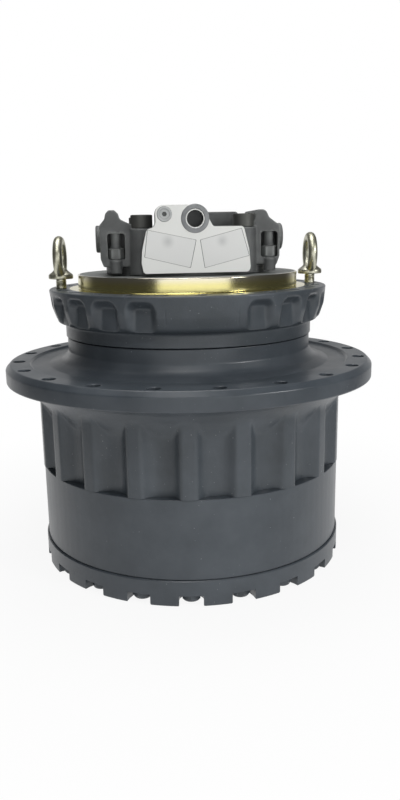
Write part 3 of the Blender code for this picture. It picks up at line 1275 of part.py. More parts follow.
def make_relief_valves(material):
    """Vertical cartridges in the housings' front pockets: a hexagon below and a stem above."""
    bottom = RELIEF_POCKET_BOTTOM + SEAT_GAP
    top = RELIEF_POCKET_TOP - SEAT_GAP
    waist = bottom + RELIEF_HEX_HEIGHT
    for side, name in ((-1.0, "relief_valve_left"), (1.0, "relief_valve_right")):
        centre = (MOTOR_CENTRE + side * RELIEF_X, -HOUSING_FRONT + RELIEF_SETBACK)
        rings = [
            circle(RELIEF_HEX_RADIUS, bottom, HEX, math.pi / 2.0, centre),
            circle(RELIEF_HEX_RADIUS, waist, HEX, math.pi / 2.0, centre),
            circle(RELIEF_STEM_RADIUS, waist, PIN_SIDES, 0.0, centre),
            circle(RELIEF_STEM_RADIUS, top, PIN_SIDES, 0.0, centre),
        ]
        stacked(name, rings, material)


def make_motor_screws(material):
    seat = BOSS_TOP + SEAT_GAP
    head_top = seat + SCREW_HEAD_HEIGHT
    tip = PILOT_TOP - SCREW_THREAD_LENGTH
    for index, place in enumerate(SCREW_PLACES):
        rings = [
            circle(SCREW_SOCKET_RADIUS, head_top - SCREW_SOCKET_DEPTH, HEX, 0.0, place),
            circle(SCREW_SOCKET_RADIUS, head_top, HEX, 0.0, place),
            circle(SCREW_HEAD_RADIUS, head_top, PIN_SIDES, 0.0, place),
            circle(SCREW_HEAD_RADIUS, seat, PIN_SIDES, 0.0, place),
            circle(SCREW_RADIUS, seat, HEX, 0.0, place),
            circle(SCREW_RADIUS, tip, HEX, 0.0, place),
        ]
        stacked(f"motor_screw_{index + 1}", rings, material)


def main():
    clear_scene()
    grey = make_material("grey_enamel", (0.085, 0.098, 0.110), 0.45, 0.0)
    casting = make_material("dark_casting", (0.045, 0.048, 0.047), 0.55, 0.3)
    steel = make_material("ground_steel", (0.52, 0.52, 0.53), 0.28, 1.0)
    gear_steel = make_material("gear_steel", (0.36, 0.36, 0.37), 0.35, 1.0)
    bearing_steel = make_material("bearing_steel", (0.62, 0.62, 0.63), 0.18, 1.0)
    black = make_material("black_oxide", (0.030, 0.031, 0.033), 0.42, 0.6)
    zinc = make_material("yellow_zinc", (0.55, 0.52, 0.30), 0.25, 1.0)
    bronze = make_material("bronze", (0.48, 0.31, 0.14), 0.35, 1.0)

    make_end_cover(grey)
    make_oil_plug("fill_plug", -math.pi / 2.0, zinc)
    make_oil_plug("drain_plug", math.pi / 2.0, zinc)
    make_cover_bolts(black)
    make_thrust_pad(bronze)
    make_ring_gear(grey)
    make_hub(grey)
    make_input_shaft(gear_steel)
    make_first_carrier(gear_steel)
    make_second_sun(gear_steel)
    make_second_carrier(gear_steel)
    make_second_pins(steel)
    for index in range(PLANET_COUNT):
        azimuth = planet_azimuth(index)
        planet(
            f"first_planet_{index + 1}", FIRST_PLANET_TEETH, FIRST_CENTRES, azimuth,
            FIRST_GEAR_BOTTOM, FIRST_GEAR_WIDTH, gear_steel,
        )
        planet(
            f"second_planet_{index + 1}", SECOND_PLANET_TEETH, SECOND_CENTRES, azimuth,
            SECOND_GEAR_BOTTOM, SECOND_GEAR_WIDTH, gear_steel,
        )
    make_bearing("lower_bearing", LOWER_BEARING_BOTTOM, False, bearing_steel, bearing_steel)
    make_bearing("upper_bearing", UPPER_BEARING_BOTTOM, True, bearing_steel, bearing_steel)
    make_bearing_nut(steel)
    make_seal_rings(steel)
    make_spindle(grey)
    make_eye_bolt("eye_bolt_left", -1.0, zinc)
    make_eye_bolt("eye_bolt_right", 1.0, zinc)
    make_motor_cover(casting)
    make_pressure_plug(steel)
    make_spool_and_caps(steel, casting)
    make_relief_valves(black)
    make_motor_screws(black)


main()
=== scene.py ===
"""Looks of the excavator final drive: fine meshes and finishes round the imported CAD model.

Everything is in metres in the CAD frame. +Z is the main axis and the port face looks along -Y.
"""
import math

import bmesh
import bpy
from mathutils import Matrix, Vector


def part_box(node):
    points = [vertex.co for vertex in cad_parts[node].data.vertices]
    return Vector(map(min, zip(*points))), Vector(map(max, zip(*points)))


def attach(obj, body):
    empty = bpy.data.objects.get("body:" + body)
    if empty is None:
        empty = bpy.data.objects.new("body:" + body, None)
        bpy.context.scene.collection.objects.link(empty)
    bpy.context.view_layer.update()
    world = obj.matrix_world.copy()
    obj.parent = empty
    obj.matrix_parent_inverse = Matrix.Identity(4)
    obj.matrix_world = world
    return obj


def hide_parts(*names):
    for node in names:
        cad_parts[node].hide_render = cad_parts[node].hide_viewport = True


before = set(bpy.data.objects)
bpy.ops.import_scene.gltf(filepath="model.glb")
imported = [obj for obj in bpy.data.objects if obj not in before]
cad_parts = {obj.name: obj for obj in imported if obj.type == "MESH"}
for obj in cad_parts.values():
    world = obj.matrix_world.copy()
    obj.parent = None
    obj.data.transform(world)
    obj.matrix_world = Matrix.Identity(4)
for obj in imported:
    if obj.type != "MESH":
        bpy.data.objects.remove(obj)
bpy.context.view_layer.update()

MM = 0.001
ROUND = 2.0 * math.pi
FRONT = -math.pi / 2.0

# Sizes that come from the frame
COVER_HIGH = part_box("end_cover")[1]
GEAR_LOW, GEAR_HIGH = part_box("ring_gear")
HUB_LOW, HUB_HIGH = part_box("hub")
SPINDLE_LOW, SPINDLE_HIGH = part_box("spindle")
MOTOR_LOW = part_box("motor_cover")[0]
EYE_LOW, EYE_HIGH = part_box("eye_bolt_right")

# Fineness of the turned pieces
FINE_TURN = 360
ARC_STEPS = 5
DOUBLES = 0.002 * MM

# Ribs, bolts and sprocket holes share one pattern
RIB_COUNT = 20
PITCH = ROUND / RIB_COUNT
RIB_START = FRONT - math.radians(6.0)
RIB_RADIUS = 229 * MM
VALLEY_RADIUS = 215 * MM
BARREL_RADIUS = VALLEY_RADIUS - 3 * MM
SCALLOP_HALF = 25.5 * MM
SCALLOP_POWER = 2.7
RIB_SOFTNESS = 6 * MM
RIB_SEGMENTS = 36 * RIB_COUNT
CAVITY_RADIUS = 176 * MM
BEARING_BORE = 165.3 * MM
SEAL_POCKET = 174 * MM
BORE_TOP = 320 * MM
FLARE_ROWS = 30
# The flare under the flange, (outwards from the valley, height) in mm
FLARE = (
    (-3.0, 214.0), (0.0, 227.0), (6.2, 238.0), (14.5, 251.0), (24.5, 264.0), (31.5, 271.0),
    (33.2, 275.2),
)

# Sprocket flange and neck
FLANGE_RADIUS = HUB_HIGH.x
FLANGE_LOW = 275.5 * MM
FLANGE_TOP = 302.3 * MM
UNDERSIDE_RADIUS = 248.5 * MM
LAND_RADIUS = 240 * MM
LAND_DROP = 3 * MM
NECK_RADIUS = 182.2 * MM
NECK_TOP = HUB_HIGH.z
TRUMPET_FOOT = 211 * MM
TRUMPET_RISE = 19 * MM
HOLE_CIRCLE = 255.5 * MM
HOLE_RADIUS = 9 * MM
HOLE_CHAMFER = 0.8 * MM

# Ring gear. Its outside and the cover's are a hair larger, because their polygons cut corners.
GEAR_MODULE = 8 * MM
GEAR_TEETH = 48
GEAR_PITCH_RADIUS = GEAR_MODULE * GEAR_TEETH / 2.0
PRESSURE_ANGLE = math.radians(20.0)
BACKLASH = 0.3 * MM
GEAR_TIP = GEAR_PITCH_RADIUS - 0.85 * GEAR_MODULE
GEAR_ROOT = GEAR_PITCH_RADIUS + 1.15 * GEAR_MODULE
FLANK_STEPS = 5
GEAR_OUTSIDE = GEAR_HIGH.x * 1.0003
GEAR_EDGE = 0.8 * MM

# End cover with its open bolt pockets
COVER_OUTSIDE = COVER_HIGH.x * 1.0004
COVER_TOP = 37 * MM
COVER_EDGE = 2.6 * MM
COVER_FACE = 8 * MM
COVER_FOOT = 190 * MM
COVER_MIDDLE = 60 * MM
COVER_ROOF = 26 * MM
SPIGOT_RADIUS = 182 * MM
SPIGOT_RISE = 3.5 * MM
BOLT_CIRCLE = 214 * MM
BOLT_POCKET_RADIUS = 16.5 * MM
BOLT_SEAT = 15.5 * MM
POCKET_STEPS = 16
LAND_STEPS = 12

# Spindle
COLLAR_RADIUS = 184 * MM
SPINDLE_INNER = 176 * MM
CORE_GAP = 0.05 * MM
LABYRINTH = 339.5 * MM
RIM_RADIUS = 205.7 * MM
BELLY_LOW = 360.5 * MM
RIM_TOP = 408.4 * MM
POCKET_COUNT = 24
POCKET_HALF = 15.5 * MM
POCKET_BACK = 193.4 * MM
POCKET_ROOF = 396 * MM
POCKET_CORNER = 8 * MM
POCKET_SOFTNESS = 5 * MM
POCKET_LIP = 7 * MM
BARE_HALF = 46 * MM
RIM_SEGMENTS = 1080
RIM_STEP = 1.3 * MM
FRAME_CIRCLE = 188 * MM
FRAME_HOLE_RADIUS = 8 * MM
FRAME_HOLE_DEPTH = 34 * MM
PILOT_RADIUS = 163 * MM
PILOT_WALL = 3 * MM
PILOT_TOP = SPINDLE_HIGH.z
PILOT_HOLLOW = 80 * MM

# Eye bolts
EYE_RING = 24.5 * MM
EYE_BAR = 7 * MM
EYE_TURN = math.radians(-4.0)
EYE_COLLAR = 422 * MM
EYE_STEPS, EYE_SIDES = 72, 28

# Motor cover. Places on the port face are (x, z), the spool's axis is (y, z).
MOTOR_X = 1.5 * MM
FACE_Y = MOTOR_LOW.y + 1.0 * MM
FACE_PLATE = 1.2 * MM
FACE_MIDDLE = Vector((MOTOR_X, 470 * MM))
PORTS = [(MOTOR_X + side * 36 * MM, 470 * MM) for side in (-1.0, 1.0)]
# Where the painted shade of the bores on the films is darkest, as (|x|, |y|, z)
PORT_SHADE_SPOT = (36 * MM, 125 * MM, 474 * MM)
DRAIN = (0.4 * MM, 503.6 * MM)
PLUG = (-40.2 * MM, 509.8 * MM)
SPOOL = (-28 * MM, 478.5 * MM)
SCREWS = ((-69.0, -80.0), (72.0, -80.0), (72.0, 72.0), (-69.0, 72.0))
# Outlines in mm: corners of the port face with their rounding, of the two films, and of the
# valve housings, outwards from the middle and up
FACE_CORNERS = (
    (-69.5, 432.7, 5), (-72.0, 447, 14), (-70.9, 463, 20), (-64.3, 489.9, 6), (-54.5, 493.3, 6),
    (-52.2, 500, 6), (-52.4, 521.7, 12), (13.0, 521.7, 15), (19.6, 502, 7), (24.2, 493.2, 5),
    (65.2, 493.2, 5), (72.6, 463, 20), (74.6, 440, 10), (72.8, 432.9, 5),
)
FILMS = {
    "left": ((-62.7, 489.4), (0.9, 475.9), (-7.2, 440.0), (-67.3, 454.7)),
    "right": ((7.1, 475.8), (61.9, 490.0), (72.3, 454.6), (12.7, 439.6)),
}
HOUSINGS = (
    (-1.0, (
        (84, 441), (124, 441), (128, 452), (128, 497), (121, 505), (119.5, 512), (115, 517),
        (107, 517), (102, 512), (100, 505), (90, 500), (84, 498),
    )),
    (1.0, (
        (84, 441), (117, 441), (121, 452), (121, 494), (106, 505), (103, 512), (99, 515.5),
        (90.5, 515.5), (87, 512), (86, 504), (84, 500),
    )),
)


# Node helpers

def add(tree, kind, settings=None, inputs=None, out=0):
    """Add a node with its settings. An input that is a socket is linked, any other is set."""
    item = tree.nodes.new(kind)
    for name, value in (settings or {}).items():
        setattr(item, name, value)
    for key, value in (inputs or {}).items():
        if isinstance(value, bpy.types.NodeSocket):
            tree.links.new(value, item.inputs[key])
        else:
            item.inputs[key].default_value = value
    return item if out is None else item.outputs[out]


def hex_colour(code):
    """The linear colour of an sRGB hex code such as 5A6068."""
    linear = []
    for start in (0, 2, 4):
        value = int(code[start:start + 2], 16) / 255.0
        linear.append(value / 12.92 if value <= 0.04045 else ((value + 0.055) / 1.055) ** 2.4)
    return (*linear, 1.0)


# Kinds of node that are used often
MATH = "ShaderNodeMath"
VECTOR = "ShaderNodeVectorMath"
NOISE = "ShaderNodeTexNoise"
RAMP = "ShaderNodeMapRange"
MIX = "ShaderNodeMix"


def start_material(name):
    material = bpy.data.materials.new(name)
    material.use_nodes = True
    tree = material.node_tree
    tree.nodes.clear()
    place = add(tree, "ShaderNodeTexCoord", out="Object")
    return material, tree, place


def end_material(tree, shader):
    add(tree, "ShaderNodeOutputMaterial", inputs={"Surface": shader}, out=None)


# Finishes

def enamel(name, shade, light, grain_mm, grain_height_mm, rough, dust):
    """Grey two-pack machinery enamel, sprayed over cast iron or a turned face.

    The eye sees a satin coat with orange peel, cloudy patches of thicker and thinner film and a
    few pale dust nibs. On as-cast walls the sand grain of the casting shows through the coat.
    """
    material, tree, place = start_material(name)
    cloud = add(tree, NOISE, inputs={"Vector": place, "Scale": 14.0, "Detail": 4.0, "Roughness": 0.6})
    patch = add(tree, RAMP, inputs={"Value": cloud, "From Min": 0.35, "From Max": 0.65})
    base = add(tree, MIX, {"data_type": "RGBA"},
               {"Factor": patch, "A": hex_colour(shade), "B": hex_colour(light)}, "Result")
    nib = add(tree, NOISE, inputs={"Vector": place, "Scale": 420.0, "Detail": 1.0})
    nibs = add(tree, RAMP, inputs={"Value": nib, "From Min": 0.79 - dust, "From Max": 0.83 - dust})
    colour = add(tree, MIX, {"data_type": "RGBA"},
                 {"Factor": nibs, "A": base, "B": hex_colour("9FA4A6")}, "Result")
    roughness = add(tree, RAMP, inputs={
        "Value": cloud, "From Min": 0.3, "From Max": 0.7,
        "To Min": rough - 0.05, "To Max": rough + 0.07,
    })
    grain = add(tree, NOISE, inputs={
        "Vector": place, "Scale": 1.0 / (grain_mm * MM), "Detail": 3.0, "Roughness": 0.65,
    })
    peel = add(tree, NOISE, inputs={"Vector": place, "Scale": 1.0 / (7.0 * MM), "Detail": 1.0})
    under = add(tree, "ShaderNodeBump", inputs={
        "Height": grain, "Strength": 0.6, "Distance": grain_height_mm * MM,
    })
    coat = add(tree, "ShaderNodeBump", inputs={
        "Height": peel, "Strength": 0.35, "Distance": 0.25 * MM, "Normal": under,
    })
    shader = add(tree, "ShaderNodeBsdfPrincipled", inputs={
        "Base Color": colour, "Roughness": roughness, "Normal": coat,
        "IOR": 1.45, "Coat Weight": 0.1, "Coat Roughness": 0.25,
    })
    end_material(tree, shader)
    return material


def turned_metal(name, dark, bright, rough, line_mm, metallic=1.0, stain=0.5):
    """A lathe-turned or milled steel face. Fine tool lines run round the axis, drawn wider than
    the real 0.2 mm feed so that they show, and handling leaves cloudy patches in the sheen."""
    material, tree, place = start_material(name)
    cloud = add(tree, NOISE, inputs={"Vector": place, "Scale": 22.0, "Detail": 5.0, "Roughness": 0.6})
    patch = add(tree, RAMP, inputs={"Value": cloud, "From Min": 0.35, "From Max": 0.7, "To Max": stain})
    colour = add(tree, MIX, {"data_type": "RGBA"},
                 {"Factor": patch, "A": hex_colour(bright), "B": hex_colour(dark)}, "Result")
    lines = add(tree, "ShaderNodeTexWave", {"bands_direction": "Z"}, {
        "Vector": place, "Scale": 1.0 / (line_mm * MM * ROUND), "Distortion": 0.4, "Detail": 1.0,
    }, "Fac")
    bump = add(tree, "ShaderNodeBump", inputs={
        "Height": lines, "Strength": 0.25, "Distance": 0.05 * MM,
    })
    roughness = add(tree, RAMP, inputs={
        "Value": cloud, "From Min": 0.3, "From Max": 0.7,
        "To Min": rough - 0.05, "To Max": rough + 0.1,
    })
    shader = add(tree, "ShaderNodeBsdfPrincipled", inputs={
        "Base Color": colour, "Metallic": metallic, "Roughness": roughness, "Normal": bump,
    })
    end_material(tree, shader)
    return material


def sand_casting(name):
    """Phosphated sand casting of the motor cover: dark grey with a dull sheen and a pebbled skin of
    about 1.5 mm grain. Its high spots and sharp edges are paler, partly rubbed wear and partly a
    painted highlight."""
    material, tree, place = start_material(name)
    grain = add(tree, NOISE, inputs={
        "Vector": place, "Scale": 1.0 / (1.6 * MM), "Detail": 4.0, "Roughness": 0.7,
    })
    cloud = add(tree, NOISE, inputs={"Vector": place, "Scale": 30.0, "Detail": 4.0})
    patch = add(tree, RAMP, inputs={"Value": cloud, "From Min": 0.35, "From Max": 0.7})
    base = add(tree, MIX, {"data_type": "RGBA"},
               {"Factor": patch, "A": hex_colour("4D4F4F"), "B": hex_colour("636565")}, "Result")
    edge = add(tree, "ShaderNodeNewGeometry", out="Pointiness")
    # Paler on sharp edges: partly rubbed wear, partly a painted edge highlight
    rubbed_and_highlit = add(tree, RAMP, inputs={"Value": edge, "From Min": 0.515, "From Max": 0.57, "To Max": 0.7})
    colour = add(tree, MIX, {"data_type": "RGBA"},
                 {"Factor": rubbed_and_highlit, "A": base, "B": hex_colour("8B8E8C")}, "Result")
    bump = add(tree, "ShaderNodeBump", inputs={
        "Height": grain, "Strength": 0.9, "Distance": 0.6 * MM,
    })
    shader = add(tree, "ShaderNodeBsdfPrincipled", inputs={
        "Base Color": colour, "Metallic": 0.1, "Roughness": 0.47, "Normal": bump,
    })
    end_material(tree, shader)
    return material


def milled_face(name):
    """Fine-milled grey iron under a rust-proofing film: pale, even and almost matt, with faint
    cutter arcs about 3 mm apart."""
    material, tree, place = start_material(name)
    cloud = add(tree, NOISE, inputs={"Vector": place, "Scale": 18.0, "Detail": 3.0})
    base = add(tree, MIX, {"data_type": "RGBA"},
               {"Factor": cloud, "A": hex_colour("E0E1DE"), "B": hex_colour("E6E7E4")}, "Result")
    centre = add(tree, "ShaderNodeMapping", inputs={"Vector": place, "Location": (0.12, 0.0, -0.40)})
    arcs = add(tree, "ShaderNodeTexWave", {"wave_type": "RINGS", "rings_direction": "Y"}, {
        "Vector": centre, "Scale": 1.0 / (3.0 * MM * ROUND), "Distortion": 0.3,
    }, "Fac")
    bump = add(tree, "ShaderNodeBump", inputs={
        "Height": arcs, "Strength": 0.12, "Distance": 0.04 * MM,
    })
    shader = add(tree, "ShaderNodeBsdfPrincipled", inputs={
        "Base Color": base, "Metallic": 0.1, "Roughness": 0.5, "Normal": bump,
    })
    end_material(tree, shader)
    return material


def port_film(name):
    """Thin grey polythene film stuck over the oil ports: soft sheen and slightly see-through. The dark
    of the bores behind it is painted on as faint dark patches of painted shade."""
    material, tree, place = start_material(name)
    wrinkle = add(tree, NOISE, inputs={"Vector": place, "Scale": 90.0, "Detail": 2.0})
    tone = add(tree, NOISE, inputs={"Vector": place, "Scale": 25.0, "Detail": 2.0})
    clean = add(tree, MIX, {"data_type": "RGBA"},
                {"Factor": tone, "A": hex_colour("E0E1DF"), "B": hex_colour("E5E6E4")}, "Result")
    sides = add(tree, VECTOR, {"operation": "ABSOLUTE"}, {0: place})
    reach = add(tree, VECTOR, {"operation": "DISTANCE"}, {0: sides, 1: PORT_SHADE_SPOT}, "Value")
    ragged = add(tree, MATH, {"operation": "MULTIPLY_ADD"}, {0: tone, 1: 9 * MM, 2: reach})
    # Painted shade: the film's colour darkens round each port, where the dark bore lies behind it
    painted_bore_shade = add(tree, RAMP, {"interpolation_type": "SMOOTHSTEP"}, {
        "Value": ragged, "From Min": 3 * MM, "From Max": 16 * MM, "To Min": 0.45, "To Max": 0.0,
    })
    base = add(tree, MIX, {"data_type": "RGBA"},
               {"Factor": painted_bore_shade, "A": clean, "B": hex_colour("A0A2A2")}, "Result")
    bump = add(tree, "ShaderNodeBump", inputs={
        "Height": wrinkle, "Strength": 0.25, "Distance": 0.1 * MM,
    })
    sheet = add(tree, "ShaderNodeBsdfPrincipled", inputs={
        "Base Color": base, "Roughness": 0.38, "Normal": bump, "IOR": 1.5,
    })
    clear = add(tree, "ShaderNodeBsdfTransparent")
    both = add(tree, "ShaderNodeMixShader", inputs={0: 0.06, 1: sheet, 2: clear})
    end_material(tree, both)
    return material


def zinc_plate(name, thin, thick, rough):
    """Yellow-passivated zinc plate: mirror-like metal whose film drifts from pale straw to olive
    gold where the passivate ran thicker."""
    material, tree, place = start_material(name)
    cloud = add(tree, NOISE, inputs={"Vector": place, "Scale": 26.0, "Detail": 5.0, "Roughness": 0.62})
    patch = add(tree, RAMP, inputs={"Value": cloud, "From Min": 0.35, "From Max": 0.68})
    colour = add(tree, MIX, {"data_type": "RGBA"},
                 {"Factor": patch, "A": hex_colour(thin), "B": hex_colour(thick)}, "Result")
    fine = add(tree, NOISE, inputs={"Vector": place, "Scale": 1.0 / (1.2 * MM), "Detail": 3.0})
    bump = add(tree, "ShaderNodeBump", inputs={
        "Height": fine, "Strength": 0.3, "Distance": 0.08 * MM,
    })
    shader = add(tree, "ShaderNodeBsdfPrincipled", inputs={
        "Base Color": colour, "Metallic": 1.0, "Roughness": rough, "Normal": bump,
    })
    end_material(tree, shader)
    return material


def pilot_finish(name):
    """Zinc plate of the pilot. The passivate ran down before it dried, so the band is pale gold
    at its foot and almost bare silver at its upper edge, with fine turning lines."""
    material, tree, place = start_material(name)
    height = add(tree, "ShaderNodeSeparateXYZ", inputs={0: place}, out=2)
    cloud = add(tree, NOISE, inputs={"Vector": place, "Scale": 16.0, "Detail": 4.0, "Roughness": 0.6})
    wavy = add(tree, MATH, {"operation": "MULTIPLY_ADD"}, {0: cloud, 1: 6 * MM, 2: height})
    rise = add(tree, RAMP, {"interpolation_type": "SMOOTHSTEP"}, {
        "Value": wavy, "From Min": RIM_TOP + 11 * MM, "From Max": RIM_TOP + 24 * MM,
    })
    gold = add(tree, MIX, {"data_type": "RGBA"},
               {"Factor": cloud, "A": hex_colour("D6CE92"), "B": hex_colour("B8AE70")}, "Result")
    colour = add(tree, MIX, {"data_type": "RGBA"},
                 {"Factor": rise, "A": gold, "B": hex_colour("C8C2B2")}, "Result")
    lines = add(tree, "ShaderNodeTexWave", {"bands_direction": "Z"}, {
        "Vector": place, "Scale": 1.0 / (0.9 * MM * ROUND), "Distortion": 0.3,
    }, "Fac")
    bump = add(tree, "ShaderNodeBump", inputs={
        "Height": lines, "Strength": 0.3, "Distance": 0.04 * MM,
    })
    shader = add(tree, "ShaderNodeBsdfPrincipled", inputs={
        "Base Color": colour, "Metallic": 1.0, "Roughness": 0.19, "Normal": bump,
    })
    end_material(tree, shader)
    return material


CAST_ENAMEL = enamel("grey_enamel_on_sand_casting", "3E4449", "4A5056", 2.6, 0.5, 0.35, 0.02)
TURNED_ENAMEL = enamel("grey_enamel_on_turned_iron", "3E444A", "4A5056", 9.0, 0.12, 0.36, 0.0)
CASTING = sand_casting("phosphated_sand_casting")
MILLED = milled_face("milled_iron_port_face")
FILM = port_film("grey_polythene_film")
FILM_EDGE_SHADOW = enamel("film_edge_shadow", "4A4C4D", "555758", 9.0, 0.05, 0.6, 0.0)
PILOT = pilot_finish("yellow_zinc_pilot")
EYE_ZINC = zinc_plate("pale_yellow_zinc_eye_bolts", "D4D3C4", "B6B49C", 0.40)
PLUG_ZINC = zinc_plate("yellow_zinc_plugs", "C3B676", "94803C", 0.26)
DRAIN_STEEL = turned_metal("turned_steel_drain_ring", "6A6C6E", "8C8E8F", 0.42, 0.8, 0.7, 0.8)
PLUG_STEEL = turned_metal("turned_steel_test_plug", "9C9E9F", "BABCBC", 0.45, 0.8, 0.5, 0.4)
BLACK_OXIDE = turned_metal("phosphated_fasteners", "484947", "5A5B58", 0.5, 1.2, 0.6, 0.3)
GEAR_STEEL = turned_metal("ground_gear_steel", "7B7C7E", "A3A4A6", 0.30, 1.5)
BEARING_STEEL = turned_metal("polished_bearing_steel", "A2A3A5", "C4C5C7", 0.16, 1.5)
BRONZE = turned_metal("oiled_bronze", "7A4F22", "B07C3F", 0.32, 1.0)


# Mesh helpers

def polar(radius, angle):
    return radius * math.cos(angle), radius * math.sin(angle)


def linked(name, data):
    """A new object of the data, linked to the scene."""
    item = bpy.data.objects.new(name, data)
    bpy.context.scene.collection.objects.link(item)
    return item


def closed_mesh(bm, name):
    """The mesh of a bmesh with doubles merged and all faces turned outwards."""
    bmesh.ops.remove_doubles(bm, verts=bm.verts, dist=DOUBLES)
    bmesh.ops.recalc_face_normals(bm, faces=bm.faces)
    mesh = bpy.data.meshes.new(name)
    bm.to_mesh(mesh)
    bm.free()
    return mesh


def plain_object(bm, name):
    return linked(name, closed_mesh(bm, name))


def finish_piece(mesh, name, material, body, slot, nodes, sharp=34.0):
    """Make a mesh a finished piece that rides on a body and stands for its CAD nodes."""
    mesh.shade_smooth()
    mesh.set_sharp_from_angle(angle=math.radians(sharp))
    mesh.materials.clear()
    mesh.materials.append(material)
    piece = linked(name, mesh)
    piece.modifiers.new("weighted", "WEIGHTED_NORMAL").keep_sharp = True
    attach(piece, body)
    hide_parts(*nodes)


def make_piece(bm, name, *finish):
    finish_piece(closed_mesh(bm, name), name, *finish)


def rounded(points, steps=ARC_STEPS):
    """Round the corners of a polyline of (first, second, radius). A radius of zero stays sharp."""
    result = []
    for index, (x, y, radius) in enumerate(points):
        here = Vector((x, y))
        if radius <= 0.0:
            result.append(here)
            continue
        before = Vector(points[index - 1][:2]) - here
        after = Vector(points[(index + 1) % len(points)][:2]) - here
        half = before.angle(after) / 2.0
        reach = min(radius / math.tan(half), 0.49 * before.length, 0.49 * after.length)
        radius = reach * math.tan(half)
        middle = (before.normalized() + after.normalized()).normalized()
        centre = here + middle * radius / math.sin(half)
        start = here + before.normalized() * reach - centre
        end = here + after.normalized() * reach - centre
        sweep = start.angle_signed(end)
        for step in range(steps + 1):
            result.append(centre + Matrix.Rotation(-sweep * step / steps, 2) @ start)
    return result


def graded(base, *points):
    """Points of (radius, height over the base, rounding) in mm, as metres."""
    return [(radius * MM, base + height * MM, corner * MM) for radius, height, corner in points]


def skin(bm, rows, looped=False):
    """Join rings of vertices with faces. The last ring meets the first, or both ends are closed."""
    pairs = list(zip(rows, rows[1:]))
    if looped:
        pairs.append((rows[-1], rows[0]))
    else:
        bm.faces.new(rows[0])
        bm.faces.new(rows[-1])
    for lower, upper in pairs:
        for step in range(len(lower)):
            other = (step + 1) % len(lower)
            bm.faces.new((lower[step], lower[other], upper[other], upper[step]))


def lathe(bm, profile, segments=FINE_TURN, centre=(0.0, 0.0), axis="Z", closed=True):
    """Skin a turned shape from (radius, height) points. A closed profile gives a ring."""
    rows = []
    for radius, height in profile:
        row = []
        for step in range(segments):
            across, up = polar(radius, ROUND * step / segments)
            place = [centre[0] + across, centre[1] + up]
            place.insert("XYZ".index(axis), height)
            row.append(bm.verts.new(place))
        rows.append(row)
    skin(bm, rows, closed)


def evaluated_mesh(shape):
    graph = bpy.context.evaluated_depsgraph_get()
    mesh = bpy.data.meshes.new_from_object(shape.evaluated_get(graph))
    bpy.data.objects.remove(shape, do_unlink=True)
    return mesh


def welded(shape, voxel, smoothing):
    """One skin round all the shapes of a mesh, smoothed so that inner corners get fillets."""
    remesh = shape.modifiers.new("weld", "REMESH")
    remesh.mode = "VOXEL"
    remesh.voxel_size = voxel
    smooth = shape.modifiers.new("smooth", "SMOOTH")
    smooth.factor = 0.5
    smooth.iterations = smoothing
    return evaluated_mesh(shape)


def cut(shape, tools, thin=None):
    """Apply exact Booleans, and thin the faces to a share, and return the mesh that is left."""
    for tool in tools:
        modifier = shape.modifiers.new("cut", "BOOLEAN")
        modifier.object = tool
        modifier.operation = "DIFFERENCE"
        modifier.solver = "EXACT"
    if thin:
        shape.modifiers.new("thin", "DECIMATE").ratio = thin
    mesh = evaluated_mesh(shape)
    for tool in tools:
        bpy.data.objects.remove(tool, do_unlink=True)
    return mesh


def hole_cutter(name, places, radius, low, high, chamfer, sides=32):
    """Drills with a chamfer at the top face, joined into one cutter."""
    bm = bmesh.new()
    wide = radius + chamfer
    profile = [(radius, low), (radius, high - chamfer), (wide, high), (wide, high + 4 * MM)]
    for centre in places:
        lathe(bm, profile, sides, centre, closed=False)
    return plain_object(bm, name)


def slab(bm, outline, front, back, edge=0.0):
    """A plate along Y from an (x, z) outline, with an optional chamfer at its front."""
    middle = sum(outline, Vector((0.0, 0.0))) / len(outline)
    steps = [(0.0, back), (0.0, front)]
    if edge:
        steps = [(0.0, back), (0.0, front + edge), (edge, front)]
    rows = []
    for inset, depth in steps:
        row = []
        for point in outline:
            inwards = (point - middle).normalized()
            row.append(bm.verts.new((
                point.x - inwards.x * inset, depth, point.y - inwards.y * inset
            )))
        rows.append(row)
    skin(bm, rows)


def block(name, outline, start, end, axis):
    """A prism of (first, second) points in mm along an axis, ends in metres."""
    bm = bmesh.new()
    rows = []
    for reach in (start, end):
        row = []
        for first, second in outline:
            place = [first * MM, second * MM]
            place.insert("XYZ".index(axis), reach)
            row.append(bm.verts.new(place))
        rows.append(row)
    skin(bm, rows)
    return plain_object(bm, name)


def post(name, profile, centre, axis="Z", sides=48):
    """A turned solid from (radius, height) points in mm."""
    bm = bmesh.new()
    points = [(radius * MM, height * MM) for radius, height in profile]
    lathe(bm, points, sides, centre, axis, closed=False)
    return plain_object(bm, name)


# Geometry Nodes trees

def start_tree(name, sizes):
    """A tree with a geometry input and one named input for each size."""
    tree = bpy.data.node_groups.new(name, "GeometryNodeTree")
    tree.interface.new_socket(name="Geometry", in_out="INPUT", socket_type="NodeSocketGeometry")
    for label, value in sizes.items():
        kind = "NodeSocketInt" if isinstance(value, int) else "NodeSocketFloat"
        tree.interface.new_socket(name=label, in_out="INPUT", socket_type=kind)
    tree.interface.new_socket(name="Geometry", in_out="OUTPUT", socket_type="NodeSocketGeometry")
    return tree, add(tree, "NodeGroupInput", out=None).outputs


def end_tree(tree, geometry, material):
    real = add(tree, "GeometryNodeRealizeInstances", inputs={"Geometry": geometry})
    painted = add(tree, "GeometryNodeSetMaterial", inputs={"Geometry": real, "Material": material})
    add(tree, "NodeGroupOutput", inputs={"Geometry": painted}, out=None)
    return tree


def grow(shape, tree, sizes):
    """Run a tree on an object and return the plain mesh."""
    modifier = shape.modifiers.new("grow", "NODES")
    modifier.node_group = tree
    for item in tree.interface.items_tree:
        if item.item_type == "SOCKET" and item.in_out == "INPUT" and item.name in sizes:
            modifier[item.identifier] = sizes[item.name]
    return evaluated_mesh(shape)


